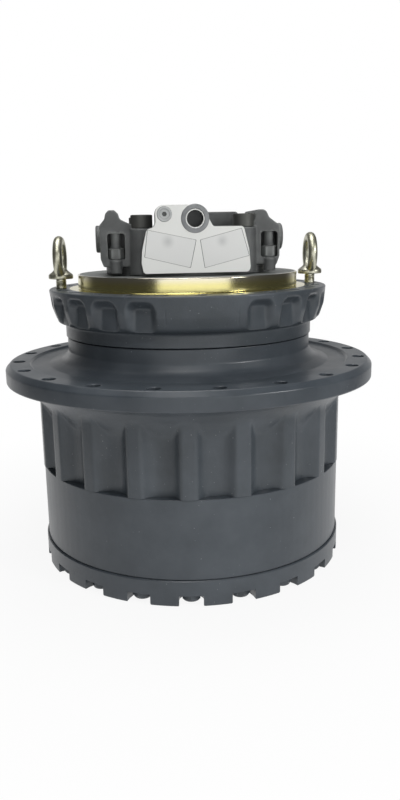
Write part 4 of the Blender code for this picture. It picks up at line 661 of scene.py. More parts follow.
def round_places(tree, first, count):
    """The position, its parts, its radius, and its angle from the nearest of the marks that
    stand round the axis."""
    place = add(tree, "GeometryNodeInputPosition")
    parts = add(tree, "ShaderNodeSeparateXYZ", inputs={0: place}, out=None).outputs
    angle = add(tree, MATH, {"operation": "ARCTAN2"}, {0: parts[1], 1: parts[0]})
    turned = add(tree, MATH, {"operation": "SUBTRACT"}, {0: angle, 1: first})
    half_pitch = add(tree, MATH, {"operation": "DIVIDE"}, {0: math.pi, 1: count})
    minus = add(tree, MATH, {"operation": "MULTIPLY"}, {0: half_pitch, 1: -1.0})
    around = add(tree, MATH, {"operation": "WRAP"}, {0: turned, 1: half_pitch, 2: minus})
    beside = add(tree, MATH, {"operation": "ABSOLUTE"}, {0: around})
    flat = add(tree, VECTOR, {"operation": "MULTIPLY"}, {0: place, 1: (1.0, 1.0, 0.0)})
    radius = add(tree, VECTOR, {"operation": "LENGTH"}, {0: flat}, "Value")
    return place, parts, radius, beside


def push_wall(tree, given, place, radius, wall, more):
    """Move each point along its radius out or in to the wall."""
    share = add(tree, MATH, {"operation": "DIVIDE"}, {0: wall, 1: radius})
    factors = add(tree, "ShaderNodeCombineXYZ", inputs={0: share, 1: share, 2: 1.0})
    moved = add(tree, VECTOR, {"operation": "MULTIPLY"}, {0: place, 1: factors})
    return add(tree, "GeometryNodeSetPosition", inputs={
        "Geometry": given["Geometry"], "Position": moved, **more,
    })


def rib_tree(sizes, material):
    """Push the wall of a turned blank out to ribs with scallops between them."""
    tree, given = start_tree("rib_scallops", sizes)
    ridge, valley, soft = (
        given[key] for key in ("Ridge Radius", "Valley Radius", "Edge Softness")
    )
    place, _, blank, beside = round_places(tree, given["First Valley"], given["Rib Count"])
    across = add(tree, MATH, {"operation": "MULTIPLY"}, {0: beside, 1: ridge})
    share = add(tree, MATH, {"operation": "DIVIDE"}, {0: across, 1: given["Scallop Half Width"]})
    curve = add(tree, MATH, {"operation": "POWER"}, {0: share, 1: given["Scallop Power"]})
    depth = add(tree, MATH, {"operation": "SUBTRACT"}, {0: ridge, 1: valley})
    scallop = add(tree, MATH, {"operation": "MULTIPLY_ADD"}, {0: curve, 1: depth, 2: valley})
    rib = add(tree, MATH, {"operation": "SMOOTH_MIN"}, {0: scallop, 1: ridge, 2: soft})
    wall = add(tree, MATH, {"operation": "SMOOTH_MAX"}, {0: blank, 1: rib, 2: soft})
    outside = add(tree, "FunctionNodeCompare", {"operation": "GREATER_THAN"},
                  {0: blank, 1: given["Inner Limit"]})
    result = push_wall(tree, given, place, blank, wall, {"Selection": outside})
    return end_tree(tree, result, material)


def pocket_tree(sizes, material):
    """Press round-cornered pockets, open below, into a turned rim. The pockets next to the middle
    in front and behind are left out."""
    tree, given = start_tree("rim_pockets", sizes)
    corner = given["Corner"]
    place, parts, radius, beside = round_places(tree, given["First Pocket"], given["Pocket Count"])
    across = add(tree, MATH, {"operation": "MULTIPLY"}, {0: beside, 1: radius})
    inner_half = add(tree, MATH, {"operation": "SUBTRACT"}, {0: given["Half Width"], 1: corner})
    inner_roof = add(tree, MATH, {"operation": "SUBTRACT"}, {0: given["Roof"], 1: corner})
    past_side = add(tree, MATH, {"operation": "SUBTRACT"}, {0: across, 1: inner_half})
    past_roof = add(tree, MATH, {"operation": "SUBTRACT"}, {0: parts[2], 1: inner_roof})
    side_part = add(tree, MATH, {"operation": "MAXIMUM"}, {0: past_side, 1: 0.0})
    roof_part = add(tree, MATH, {"operation": "MAXIMUM"}, {0: past_roof, 1: 0.0})
    offset = add(tree, "ShaderNodeCombineXYZ", inputs={0: side_part, 1: roof_part, 2: 0.0})
    away = add(tree, VECTOR, {"operation": "LENGTH"}, {0: offset}, "Value")
    outside = add(tree, MATH, {"operation": "SUBTRACT"}, {0: away, 1: corner})
    softness = add(tree, MATH, {"operation": "MULTIPLY"}, {0: given["Softness"], 1: -1.0})
    inside = add(tree, RAMP, {"interpolation_type": "SMOOTHSTEP"}, {
        "Value": outside, "From Min": softness, "From Max": given["Lip"], "To Min": 1.0, "To Max": 0.0,
    })
    front = add(tree, MATH, {"operation": "ABSOLUTE"}, {0: parts[0]})
    bare = add(tree, MATH, {"operation": "GREATER_THAN"}, {0: front, 1: given["Bare Half Width"]})
    mask = add(tree, MATH, {"operation": "MULTIPLY"}, {0: inside, 1: bare})
    back = add(tree, MATH, {"operation": "MINIMUM"}, {0: radius, 1: given["Back Radius"]})
    wall = add(tree, MIX, inputs={0: mask, 2: radius, 3: back})
    return end_tree(tree, push_wall(tree, given, place, radius, wall, {}), material)


def ring_tree(name, sizes, material):
    """Set copies of the given shape on a circle, each turned to face outwards."""
    tree, given = start_tree(name, sizes)
    circle = add(tree, "GeometryNodeMeshCircle", inputs={
        "Vertices": given["Count"], "Radius": given["Circle Radius"],
    })
    index = add(tree, "GeometryNodeInputIndex")
    step = add(tree, MATH, {"operation": "DIVIDE"}, {0: ROUND, 1: given["Count"]})
    turn = add(tree, MATH, {"operation": "MULTIPLY"}, {0: index, 1: step})
    spin = add(tree, "ShaderNodeCombineXYZ", inputs={0: 0.0, 1: 0.0, 2: turn})
    copies = add(tree, "GeometryNodeInstanceOnPoints", inputs={
        "Points": circle, "Instance": given["Geometry"], "Rotation": spin,
    })
    start = add(tree, "ShaderNodeCombineXYZ", inputs={0: 0.0, 1: 0.0, 2: given["First Angle"]})
    lift = add(tree, "ShaderNodeCombineXYZ", inputs={0: 0.0, 1: 0.0, 2: given["Height"]})
    whole = add(tree, "GeometryNodeTransform", inputs={
        "Geometry": copies, "Translation": lift, "Rotation": start,
    })
    return end_tree(tree, whole, material)


def thread_tree(name, sizes, material):
    """A helical thread: a four-sided profile swept along a spiral, joined to the given shape."""
    tree, given = start_tree(name, sizes)
    turns = add(tree, MATH, {"operation": "DIVIDE"}, {0: given["Length"], 1: given["Thread Pitch"]})
    spiral = add(tree, "GeometryNodeCurveSpiral", inputs={
        "Resolution": 32, "Rotations": turns, "Start Radius": given["Thread Radius"],
        "End Radius": given["Thread Radius"], "Height": given["Length"],
    })
    profile = add(tree, "GeometryNodeCurvePrimitiveCircle", inputs={
        "Resolution": 4, "Radius": given["Thread Depth"],
    })
    swept = add(tree, "GeometryNodeCurveToMesh", inputs={
        "Curve": spiral, "Profile Curve": profile, "Fill Caps": True,
    })
    lift = add(tree, "ShaderNodeCombineXYZ", inputs={0: 0.0, 1: 0.0, 2: given["Foot"]})
    raised = add(tree, "GeometryNodeTransform", inputs={"Geometry": swept, "Translation": lift})
    both = add(tree, "GeometryNodeJoinGeometry", inputs={"Geometry": raised})
    tree.links.new(given["Geometry"], both.node.inputs["Geometry"])
    return end_tree(tree, both, material)


def screw_tree(sizes, material):
    """Set copies of the given shape on the corners of a rectangle."""
    tree, given = start_tree("screw_rectangle", sizes)
    grid = add(tree, "GeometryNodeMeshGrid", inputs={
        "Size X": given["Spacing Across"], "Size Y": given["Spacing Along"],
        "Vertices X": 2, "Vertices Y": 2,
    })
    copies = add(tree, "GeometryNodeInstanceOnPoints", inputs={
        "Points": grid, "Instance": given["Geometry"],
    })
    centre = add(tree, "ShaderNodeCombineXYZ", inputs={
        0: given["Centre X"], 1: given["Centre Y"], 2: 0.0,
    })
    placed = add(tree, "GeometryNodeTransform", inputs={
        "Geometry": copies, "Translation": centre,
    })
    return end_tree(tree, placed, material)


# Hub

def make_rib_barrel():
    """The hub's barrel: turned blank with the flare under the flange, then ribs and scallops."""
    bottom = HUB_LOW.z
    heights = (bottom, bottom + 1.2 * MM, 170 * MM, 190 * MM, 205 * MM)
    profile = [(CAVITY_RADIUS, bottom)] + [(BARREL_RADIUS, height) for height in heights]
    for step in range(FLARE_ROWS + 1):
        height = FLARE[0][1] + (FLARE[-1][1] - FLARE[0][1]) * step / FLARE_ROWS
        for (out_a, low_a), (out_b, low_b) in zip(FLARE, FLARE[1:]):
            if low_a <= height <= low_b:
                out = out_a + (out_b - out_a) * (height - low_a) / (low_b - low_a)
        profile.append((VALLEY_RADIUS + out * MM, height * MM))
    profile += [
        (BEARING_BORE, FLANGE_LOW - 0.3 * MM), (BEARING_BORE, 184 * MM), (CAVITY_RADIUS, 178 * MM)
    ]
    bm = bmesh.new()
    lathe(bm, profile, RIB_SEGMENTS)
    sizes = {
        "Rib Count": RIB_COUNT, "First Valley": RIB_START + PITCH / 2.0,
        "Ridge Radius": RIB_RADIUS, "Valley Radius": VALLEY_RADIUS,
        "Scallop Half Width": SCALLOP_HALF, "Scallop Power": SCALLOP_POWER,
        "Edge Softness": RIB_SOFTNESS, "Inner Limit": 0.2,
    }
    mesh = grow(plain_object(bm, "blank"), rib_tree(sizes, CAST_ENAMEL), sizes)
    finish_piece(mesh, "hub_barrel", CAST_ENAMEL, "hub", "enamel", ["hub"], 50.0)


def make_flange():
    """Sprocket flange and neck, turned, with twenty drilled holes."""
    land = FLANGE_TOP - LAND_DROP
    bm = bmesh.new()
    lathe(bm, rounded([
        (SEAL_POCKET, NECK_TOP, 0.5 * MM), (SEAL_POCKET, BORE_TOP, 0.0),
        (BEARING_BORE, BORE_TOP, 0.0), (BEARING_BORE, FLANGE_LOW, 0.0),
        (UNDERSIDE_RADIUS, FLANGE_LOW, 0.0), (FLANGE_RADIUS, FLANGE_LOW, 2.5 * MM),
        (FLANGE_RADIUS, FLANGE_TOP - 7 * MM, 4 * MM),
        (FLANGE_RADIUS - 6.5 * MM, FLANGE_TOP, 4 * MM),
        (LAND_RADIUS, FLANGE_TOP, 1.0 * MM), (LAND_RADIUS - LAND_DROP, land, 1.5 * MM),
        (TRUMPET_FOOT, land, 12 * MM), (NECK_RADIUS + 7 * MM, land + 6.5 * MM, 16 * MM),
        (NECK_RADIUS, land + TRUMPET_RISE, 5 * MM), (NECK_RADIUS, NECK_TOP, 1.0 * MM),
    ]))
    places = [
        polar(HOLE_CIRCLE, RIB_START + PITCH * (index + 0.5)) for index in range(RIB_COUNT)
    ]
    low = FLANGE_LOW - 4 * MM
    tool = hole_cutter("drills", places, HOLE_RADIUS, low, FLANGE_TOP, HOLE_CHAMFER)
    mesh = cut(plain_object(bm, "blank"), [tool])
    finish_piece(mesh, "hub_flange", TURNED_ENAMEL, "hub", "enamel", ["hub"])


def tooth_space_half(radius):
    """Half angle of a tooth space of the ring gear at a radius, from the involute."""
    base = GEAR_PITCH_RADIUS * math.cos(PRESSURE_ANGLE)
    slope = math.acos(min(1.0, base / radius))
    involute_here = math.tan(slope) - slope
    involute_pitch = math.tan(PRESSURE_ANGLE) - PRESSURE_ANGLE
    half_pitch = math.pi / (2.0 * GEAR_TEETH) + 0.5 * BACKLASH / GEAR_PITCH_RADIUS
    return half_pitch + involute_pitch - involute_here


def make_ring_gear():
    """Smooth outside with chamfered edges, involute teeth inside."""
    outline = []
    for space in range(GEAR_TEETH):
        middle = ROUND * space / GEAR_TEETH
        for side in (-1.0, 1.0):
            for step in range(FLANK_STEPS):
                share = step / (FLANK_STEPS - 1.0)
                radius = GEAR_TIP + (GEAR_ROOT - GEAR_TIP) * (share if side < 0.0 else 1.0 - share)
                outline.append((middle + side * tooth_space_half(radius), radius))
    low, high = GEAR_LOW.z, GEAR_HIGH.z
    bm = bmesh.new()
    rows = []
    for out, height in (
        (GEAR_OUTSIDE - GEAR_EDGE, low), (GEAR_OUTSIDE, low + GEAR_EDGE),
        (GEAR_OUTSIDE, low + 30 * MM), (GEAR_OUTSIDE, high - 30 * MM),
        (GEAR_OUTSIDE, high - GEAR_EDGE), (GEAR_OUTSIDE - GEAR_EDGE, high),
    ):
        rows.append([bm.verts.new((*polar(out, angle), height)) for angle, _ in outline])
    for height in (high, low):
        rows.append([bm.verts.new((*polar(inner, angle), height)) for angle, inner in outline])
    skin(bm, rows, looped=True)
    make_piece(bm, "ring_gear_barrel", TURNED_ENAMEL, "hub", "enamel", ["ring_gear"])


def cover_outline(radius, pocket_radius):
    """The cover's outline with a U-shaped pocket at each bolt."""
    points = []
    mouth = math.sqrt(radius * radius - pocket_radius * pocket_radius)
    mouth_angle = math.asin(pocket_radius / radius)
    land = PITCH - 2.0 * mouth_angle
    for index in range(RIB_COUNT):
        middle = RIB_START + PITCH * index
        axis = Vector(polar(1.0, middle))
        side = Vector((-axis.y, axis.x))
        points.append(axis * mouth - side * pocket_radius)
        for step in range(POCKET_STEPS + 1):
            turn = math.pi * step / POCKET_STEPS
            depth = axis * (BOLT_CIRCLE - pocket_radius * math.sin(turn))
            points.append(depth - side * pocket_radius * math.cos(turn))
        points.append(axis * mouth + side * pocket_radius)
        for step in range(1, LAND_STEPS):
            angle = middle + mouth_angle + land * step / LAND_STEPS
            points.append(Vector(polar(radius, angle)))
    return points


def make_end_cover():
    """Foot of the drive. Rings run from the foot's inner edge outwards and up to the spigot."""
    radius, edge, top = COVER_OUTSIDE, COVER_EDGE, COVER_TOP
    inset = cover_outline(radius - edge, BOLT_POCKET_RADIUS + edge)
    bend = cover_outline(radius - 0.3 * edge, BOLT_POCKET_RADIUS + 0.3 * edge)
    notched = cover_outline(radius, BOLT_POCKET_RADIUS)
    angles = [math.atan2(point.y, point.x) for point in notched]

    def plain(out):
        return [Vector(polar(out, angle)) for angle in angles]

    foot = COVER_FOOT - COVER_FACE
    bm = bmesh.new()
    skin(bm, [[bm.verts.new((*point, height)) for point in row] for row, height in (
        (plain(COVER_MIDDLE), COVER_FACE), (plain(foot - 2 * MM), COVER_FACE),
        (plain(foot), COVER_FACE - 0.8 * MM), (plain(COVER_FOOT - 0.8 * MM), 0.6 * MM),
        (plain(COVER_FOOT), 0.0), (inset, 0.0), (bend, 0.3 * edge), (notched, edge),
        (notched, BOLT_SEAT), (plain(radius), BOLT_SEAT), (plain(radius), BOLT_SEAT + 0.5 * MM),
        (plain(radius), top - 1.4 * MM), (plain(radius - 1.4 * MM), top),
        (plain(SPIGOT_RADIUS), top), (plain(SPIGOT_RADIUS), top + SPIGOT_RISE),
        (plain(173 * MM), top + SPIGOT_RISE), (plain(170 * MM), COVER_ROOF),
        (plain(COVER_MIDDLE), COVER_ROOF),
    )])
    bmesh.ops.dissolve_degenerate(bm, dist=0.004 * MM, edges=bm.edges)
    make_piece(bm, "end_cover_shell", TURNED_ENAMEL, "hub", "enamel", ["end_cover"])


def hexagon_head(bm, across_corners, low, high, centre=(0.0, 0.0)):
    """A hexagon head: the cone of its chamfer is cut by the six flats."""
    sides = 48
    chamfer = 0.11 * across_corners
    flat = across_corners / 2.0 * math.cos(math.pi / 6.0)
    rows = []
    for height, cap in (
        (low, flat * 0.93), (low + chamfer * 0.5, flat * 1.03),
        (low + chamfer, across_corners), (high, across_corners),
    ):
        row = []
        for step in range(sides):
            angle = ROUND * step / sides
            corner = flat / math.cos(math.remainder(angle - math.pi / 6.0, math.pi / 3.0))
            across, along = polar(min(corner, cap), angle)
            row.append(bm.verts.new((centre[0] + across, centre[1] + along, height)))
        rows.append(row)
    skin(bm, rows)


def make_cover_bolts():
    """Twenty hexagon bolts in the cover's pockets, with a washer face above each head."""
    low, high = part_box("cover_bolt_01")
    head_top = BOLT_SEAT - 0.3 * MM
    bm = bmesh.new()
    hexagon_head(bm, 27.7 * MM, low.z, head_top - 1.0 * MM)
    lathe(bm, [(12.5 * MM, head_top - 1.1 * MM), (12.5 * MM, head_top)], 48, closed=False)
    lathe(bm, [
        (8 * MM, head_top - 0.5 * MM), (8 * MM, high.z - 1.2 * MM), (6.8 * MM, high.z)
    ], 32, closed=False)
    sizes = {
        "Count": RIB_COUNT, "Circle Radius": BOLT_CIRCLE, "First Angle": RIB_START, "Height": 0.0
    }
    mesh = grow(plain_object(bm, "bolt"), ring_tree("bolt_circle", sizes, CAST_ENAMEL), sizes)
    nodes = [f"cover_bolt_{number:02d}" for number in range(1, RIB_COUNT + 1)]
    finish_piece(mesh, "cover_bolts", CAST_ENAMEL, "hub", "enamel", nodes, 30.0)


# Spindle and eye bolts

def make_spindle():
    """Collar and frame flange with its pockets, and the drilled top with the pilot."""
    inner = SPINDLE_INNER
    coarse = rounded([
        (inner, LABYRINTH, 0.0), (COLLAR_RADIUS, LABYRINTH, 0.8 * MM),
        (COLLAR_RADIUS, BELLY_LOW, 5 * MM), (RIM_RADIUS - 10 * MM, BELLY_LOW, 9 * MM),
        (RIM_RADIUS - 2.5 * MM, BELLY_LOW + 22 * MM, 30 * MM),
        (RIM_RADIUS, RIM_TOP, 2.2 * MM), (inner, RIM_TOP, 0.0),
    ], 6)
    profile = []
    for here, there in zip(coarse, coarse[1:]):
        steps = 1
        if min(here.x, there.x) > COLLAR_RADIUS - 1 * MM:
            steps = max(1, round((there - here).length / RIM_STEP))
        for step in range(steps):
            profile.append(here.lerp(there, step / steps))
    profile.append(coarse[-1])
    bm = bmesh.new()
    lathe(bm, profile, RIM_SEGMENTS)
    sizes = {
        "Pocket Count": POCKET_COUNT, "First Pocket": math.pi / POCKET_COUNT,
        "Half Width": POCKET_HALF, "Corner": POCKET_CORNER, "Roof": POCKET_ROOF,
        "Back Radius": POCKET_BACK, "Softness": POCKET_SOFTNESS, "Lip": POCKET_LIP,
        "Bare Half Width": BARE_HALF,
    }
    mesh = grow(plain_object(bm, "rim"), pocket_tree(sizes, CAST_ENAMEL), sizes)
    places = [
        polar(FRAME_CIRCLE, FRONT + ROUND * index / POCKET_COUNT) for index in range(POCKET_COUNT)
    ]
    low = RIM_TOP - FRAME_HOLE_DEPTH
    tool = hole_cutter("taps", places, FRAME_HOLE_RADIUS, low, RIM_TOP, 1.0 * MM, 24)
    mesh = cut(linked("rim", mesh), [tool])
    finish_piece(mesh, "spindle_flange", CAST_ENAMEL, "housing", "enamel", ["spindle"], 50.0)

    side, roof = inner - 0.1 * MM, PILOT_TOP - 1.5 * MM
    bm = bmesh.new()
    lathe(bm, rounded(graded(SPINDLE_LOW.z, (60, 0, 0), (127, 0, 1)) + graded(
        0.0, (127, 189.7, 0), (130, 189.7, 0.5), (130, 318, 0), (146, 318, 0.5), (146, 346, 0)
    ) + [
        (side, 346 * MM, 0.0), (side, RIM_TOP - CORE_GAP, 0.0),
        (PILOT_RADIUS - 2 * MM, RIM_TOP - CORE_GAP, 0.0), (PILOT_RADIUS - 2 * MM, roof, 0.0),
        (60 * MM, roof, 0.0),
    ], 3), 240)
    make_piece(bm, "spindle_core", TURNED_ENAMEL, "housing", "enamel", ["spindle"])

    wall, foot = PILOT_RADIUS - PILOT_WALL, RIM_TOP - 0.4 * MM
    bm = bmesh.new()
    lathe(bm, rounded([
        (inner, RIM_TOP, 0.0), (PILOT_RADIUS + 1.0 * MM, RIM_TOP, 1.5 * MM),
        (PILOT_RADIUS, RIM_TOP + 1.2 * MM, 0.8 * MM), (PILOT_RADIUS, PILOT_TOP, 1.6 * MM),
        (wall, PILOT_TOP, 0.0), (wall, foot, 0.0), (inner, foot, 0.0),
    ]))
    make_piece(bm, "pilot_band", PILOT, "housing", "pilot", ["spindle"])

    face = PILOT_TOP - 0.1 * MM
    bm = bmesh.new()
    lathe(bm, [(wall, roof), (wall, face), (PILOT_HOLLOW, face), (PILOT_HOLLOW, roof)])
    make_piece(bm, "pilot_top", CASTING, "housing", "casting", ["spindle"])


def make_eye_bolts():
    """Forged lifting eyes: round ring with a flared neck, domed collar, threaded shank."""
    centre_height = EYE_HIGH.z - EYE_RING - EYE_BAR
    bm = bmesh.new()
    loops = []
    for step in range(EYE_STEPS):
        loop = []
        for part in range(EYE_SIDES):
            out, across = polar(EYE_BAR, ROUND * part / EYE_SIDES)
            along, up = polar(EYE_RING + out, ROUND * step / EYE_STEPS)
            loop.append(bm.verts.new((across, along, centre_height + up)))
        loops.append(loop)
    skin(bm, loops, looped=True)
    bmesh.ops.transform(bm, matrix=Matrix.Rotation(EYE_TURN, 4, "Z"), verts=bm.verts)
    lathe(bm, rounded(graded(
        EYE_COLLAR, (0.5, 0, 0), (18, 0, 1.2), (18, 6, 3), (11.5, 11, 5), (8.5, 15, 0), (0.5, 15, 0)
    ), 8), 64, closed=False)
    head_mesh = welded(plain_object(bm, "eye"), 0.7 * MM, 8)
    bm = bmesh.new()
    lathe(bm, rounded(
        graded(EYE_LOW.z, (0.2, 0, 0), (6.8, 0, 0), (7.1, 1, 0))
        + graded(EYE_COLLAR, (7.1, 1, 0), (0.2, 1, 0))
    ), 32, closed=False)
    sizes = {
        "Length": EYE_COLLAR - EYE_LOW.z - 3.5 * MM, "Thread Pitch": 2 * MM,
        "Thread Radius": 7.1 * MM, "Thread Depth": 0.8 * MM, "Foot": EYE_LOW.z + 1.5 * MM,
    }
    tree = thread_tree("eye_bolt_thread", sizes, EYE_ZINC)
    shank = grow(plain_object(bm, "shank"), tree, sizes)
    for side, name in ((-1.0, "left"), (1.0, "right")):
        bm = bmesh.new()
        bm.from_mesh(head_mesh)
        bm.from_mesh(shank)
        bmesh.ops.translate(bm, vec=(side * FRAME_CIRCLE, 0.0, 0.0), verts=bm.verts)
        nodes = [f"eye_bolt_{name}"]
        make_piece(bm, f"eye_bolt_{name}_forging", EYE_ZINC, "housing", "zinc", nodes, 60.0)


# Motor cover

def face_outline(inset=0.0):
    """The machined port face, seen from the front, with a lobe round the plug and the drain."""
    points = rounded([(x * MM, z * MM, radius * MM) for x, z, radius in FACE_CORNERS], 6)
    return [point - (point - FACE_MIDDLE).normalized() * inset for point in points]


def make_motor_casting():
    """The cover as a sand casting: blocks, columns and housings are welded and smoothed, so that
    every inner corner gets a cast fillet."""
    shapes = [
        post("base", [(122, 428.8), (122, 444.5), (119, 447)], (MOTOR_X, 0.0), sides=96),
        block("body", [(-84, -70), (87, -70), (87, 76), (-84, 76)], 440 * MM, 488 * MM, "Z"),
        block("core", [(-58, -116), (61, -116), (61, 0), (-58, 0)], 436 * MM, 487 * MM, "Z"),
        block("lobe", [(-50, 486), (17, 486), (17, 514), (10, 519.5), (-44, 519.5), (-50, 513)],
              -117 * MM, -50 * MM, "Y"),
        post("barrel", [(16.5, -84), (16.5, 87)], SPOOL, "X"),
        block("rear", [(23, 480), (82, 480), (82, 509), (76, 515.5), (29, 515.5), (23, 510)],
              6 * MM, 52 * MM, "Y"),
    ]
    bm = bmesh.new()
    slab(bm, face_outline(0.3 * MM), FACE_Y + FACE_PLATE - 0.2 * MM, -97 * MM)
    shapes.append(plain_object(bm, "plate"))
    for x, y in SCREWS:
        shapes.append(post("column", [(18.5, 430), (17.5, 492.2)], (x * MM, y * MM)))
    tools = []
    for (side, corners), port in zip(HOUSINGS, PORTS):
        outline = [(MOTOR_X / MM + side * x, z) for x, z in corners]
        shapes.append(block("housing", outline, -86.5 * MM, 17 * MM, "Y"))
        foot = (MOTOR_X + side * 107 * MM, -84 * MM)
        shapes.append(post("foot_boss", [(8.5, 432), (8.5, 449), (6.5, 451)], foot))
        low, high = sorted((MOTOR_X / MM + side * 94, MOTOR_X / MM + side * 118))
        pocket = rounded([(low, 451, 3), (high, 451, 3), (high, 486, 4), (low, 486, 4)], 4)
        tools.append(block("pocket", pocket, -95 * MM, -64 * MM, "Y"))
        tools.append(post("port", [(12.5, -130), (12.5, -103)], port, "Y"))
    tools.append(post("drain", [(11, -130), (11, -105)], DRAIN, "Y"))
    # A round seat carries the right cap, because that ear is narrower than the CAD housing.
    cap_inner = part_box("valve_cap_right")[0].x / MM
    shapes.append(post("cap_seat", [(17.5, 105), (17.5, cap_inner + 2.5)], SPOOL, "X"))
    joined = bmesh.new()
    for shape in shapes:
        joined.from_mesh(shape.data)
        bpy.data.objects.remove(shape, do_unlink=True)
    voxel = 1.3 * MM
    casting = linked("casting", welded(plain_object(joined, "casting"), voxel, 5))
    mesh = cut(casting, tools, thin=0.5)
    nodes = ["motor_cover"]
    finish_piece(mesh, "motor_casting", CASTING, "housing", "casting", nodes, 40.0)


def make_port_face():
    """Milled face plate, drain ring, test plug and the two films over the ports."""
    nodes = ["motor_cover"]
    bm = bmesh.new()
    slab(bm, face_outline(), FACE_Y, FACE_Y + FACE_PLATE, 0.4 * MM)
    plate = plain_object(bm, "plate")
    tools = [post("port", [(12.5, -130), (12.5, -120)], port, "Y") for port in PORTS]
    tools.append(post("drain", [(11.2, -130), (11.2, -120)], DRAIN, "Y"))
    tools.append(post("plug", [(10.0, -130), (10.0, -120)], PLUG, "Y"))
    low, high = FACE_Y - 1 * MM, FACE_Y + 0.4 * MM
    groove = bmesh.new()
    lathe(groove, [(15.0 * MM, low), (15.45 * MM, low), (15.45 * MM, high), (15.0 * MM, high)],
          64, PLUG, "Y")
    tools.append(plain_object(groove, "spot_face_line"))
    finish_piece(cut(plate, tools), "port_face_plate", MILLED, "housing", "machined", nodes)

    bm = bmesh.new()
    lathe(bm, rounded(graded(
        FACE_Y, (11, 18, 0), (11, 2, 0), (13.2, -0.9, 0.3), (18.3, -0.9, 0.5), (18.9, 0.4, 0.3),
        (18.9, 1, 0), (14, 18, 0)
    ), 4), 96, DRAIN, "Y")
    make_piece(bm, "drain_port_ring", DRAIN_STEEL, "housing", "machined", nodes)

    bm = bmesh.new()
    lathe(bm, rounded(graded(0.0, (0.2, -112.9, 0), (9.6, -112.9, 0)) + graded(
        FACE_Y, (9.7, -0.9, 0.9), (7, -0.9, 0.2), (6.8, 0.3, 0.1), (6.2, 0.3, 0.1),
        (6, -0.5, 0.2), (0.2, -0.5, 0)
    ), 4), 64, PLUG, "Y", closed=False)
    plug = plain_object(bm, "plug")
    socket = bmesh.new()
    lathe(socket, [(3.4 * MM, FACE_Y - 3 * MM), (3.4 * MM, FACE_Y + 5 * MM)], 6, PLUG, "Y",
          closed=False)
    mesh = cut(plug, [plain_object(socket, "socket")])
    finish_piece(mesh, "test_port_plug", PLUG_STEEL, "housing", "ground_steel", ["pressure_plug"])

    for side, corners in FILMS.items():
        outline = rounded([(x * MM, z * MM, 1.0 * MM) for x, z in corners], 3)
        bm = bmesh.new()
        slab(bm, outline, FACE_Y - 0.35 * MM, FACE_Y - 0.05 * MM)
        make_piece(bm, f"port_film_{side}", FILM, "housing", "film", nodes)
        middle = sum(outline, Vector((0.0, 0.0))) / len(outline)
        # A dark slab just wider than each film: a painted shadow line along the film's edge
        wider = [point + (point - middle).normalized() * 0.75 * MM for point in outline]
        bm = bmesh.new()
        slab(bm, wider, FACE_Y - 0.12 * MM, FACE_Y + 0.05 * MM)
        make_piece(bm, f"port_film_shadow_rim_{side}", FILM_EDGE_SHADOW, "housing", "film", nodes)


def box_axis(name):
    """The box of a CAD node and the (x, y) of its middle."""
    low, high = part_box(name)
    return low, high, ((low.x + high.x) / 2.0, (low.y + high.y) / 2.0)


def make_fittings():
    """Valve caps, relief cartridges, cover screws and oil plugs."""
    for side, name in ((-1.0, "left"), (1.0, "right")):
        low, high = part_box(f"valve_cap_{name}")
        inner, outer = (low.x, high.x) if side > 0.0 else (high.x, low.x)
        bm = bmesh.new()
        lathe(bm, rounded([(19 * MM, inner, 0.0)] + graded(
            outer, (19, 0, 2.2), (11, 0, 0.5), (10, -side * 1.2, 0.5), (0.3, -side * 1.2, 0)
        ), 5), 72, SPOOL, "X", closed=False)
        nodes = [f"valve_cap_{name}"]
        make_piece(bm, f"valve_end_cap_{name}", CASTING, "housing", "casting", nodes)

        low, high, centre = box_axis(f"relief_valve_{name}")
        bm = bmesh.new()
        hexagon_head(bm, 23.4 * MM, low.z, low.z + 14.5 * MM, centre)
        lathe(bm, rounded(graded(
            low.z, (11.5, 14.4, 0), (11.5, 15.6, 0.3), (7.5, 16.4, 0.3), (7.2, 19, 0.4),
            (6.8, 19.6, 0.3)
        ) + graded(high.z, (6.8, -0.6, 0), (6.2, 0, 0)), 4), 48, centre, closed=False)
        nodes = [f"relief_valve_{name}"]
        make_piece(bm, f"relief_cartridge_{name}", CASTING, "housing", "black_steel", nodes)

    low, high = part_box("motor_screw_1")
    bm = bmesh.new()
    lathe(bm, rounded(graded(
        high.z, (0.3, -10, 0), (8.4, -10, 0), (8.6, -0.8, 0), (9.6, 0, 0.3), (15, 0, 1.6),
        (15, -17.4, 0.4), (10, -17.5, 0)
    ) + graded(low.z, (10, 0, 0.8), (0.3, 0, 0)), 4), 72, closed=False)
    sizes = {
        "Spacing Across": 141 * MM, "Spacing Along": 152 * MM,
        "Centre X": MOTOR_X, "Centre Y": -4 * MM,
    }
    mesh = grow(plain_object(bm, "screw"), screw_tree(sizes, BLACK_OXIDE), sizes)
    nodes = [f"motor_screw_{number}" for number in range(1, 5)]
    finish_piece(mesh, "motor_cover_screws", BLACK_OXIDE, "housing", "black_steel", nodes, 30.0)

    for name in ("fill_plug", "drain_plug"):
        low, high, centre = box_axis(name)
        bm = bmesh.new()
        lathe(bm, rounded(graded(
            low.z, (0.3, 9, 0), (7.2, 9, 0), (7.4, 0.6, 0), (8.2, 0, 0), (21, 0, 1)
        ) + graded(
            high.z, (21, -18.3, 0.3), (15, -18.3, 0), (15, 0, 0.6), (0.3, 0, 0)
        ), 3), 64, centre, closed=False)
        make_piece(bm, f"{name}_turned", PLUG_ZINC, "hub", "zinc", [name])


make_rib_barrel()
make_flange()
make_ring_gear()
make_end_cover()
make_cover_bolts()
make_spindle()
make_eye_bolts()
make_motor_casting()
make_port_face()
make_fittings()


# Finish of the CAD nodes that stay

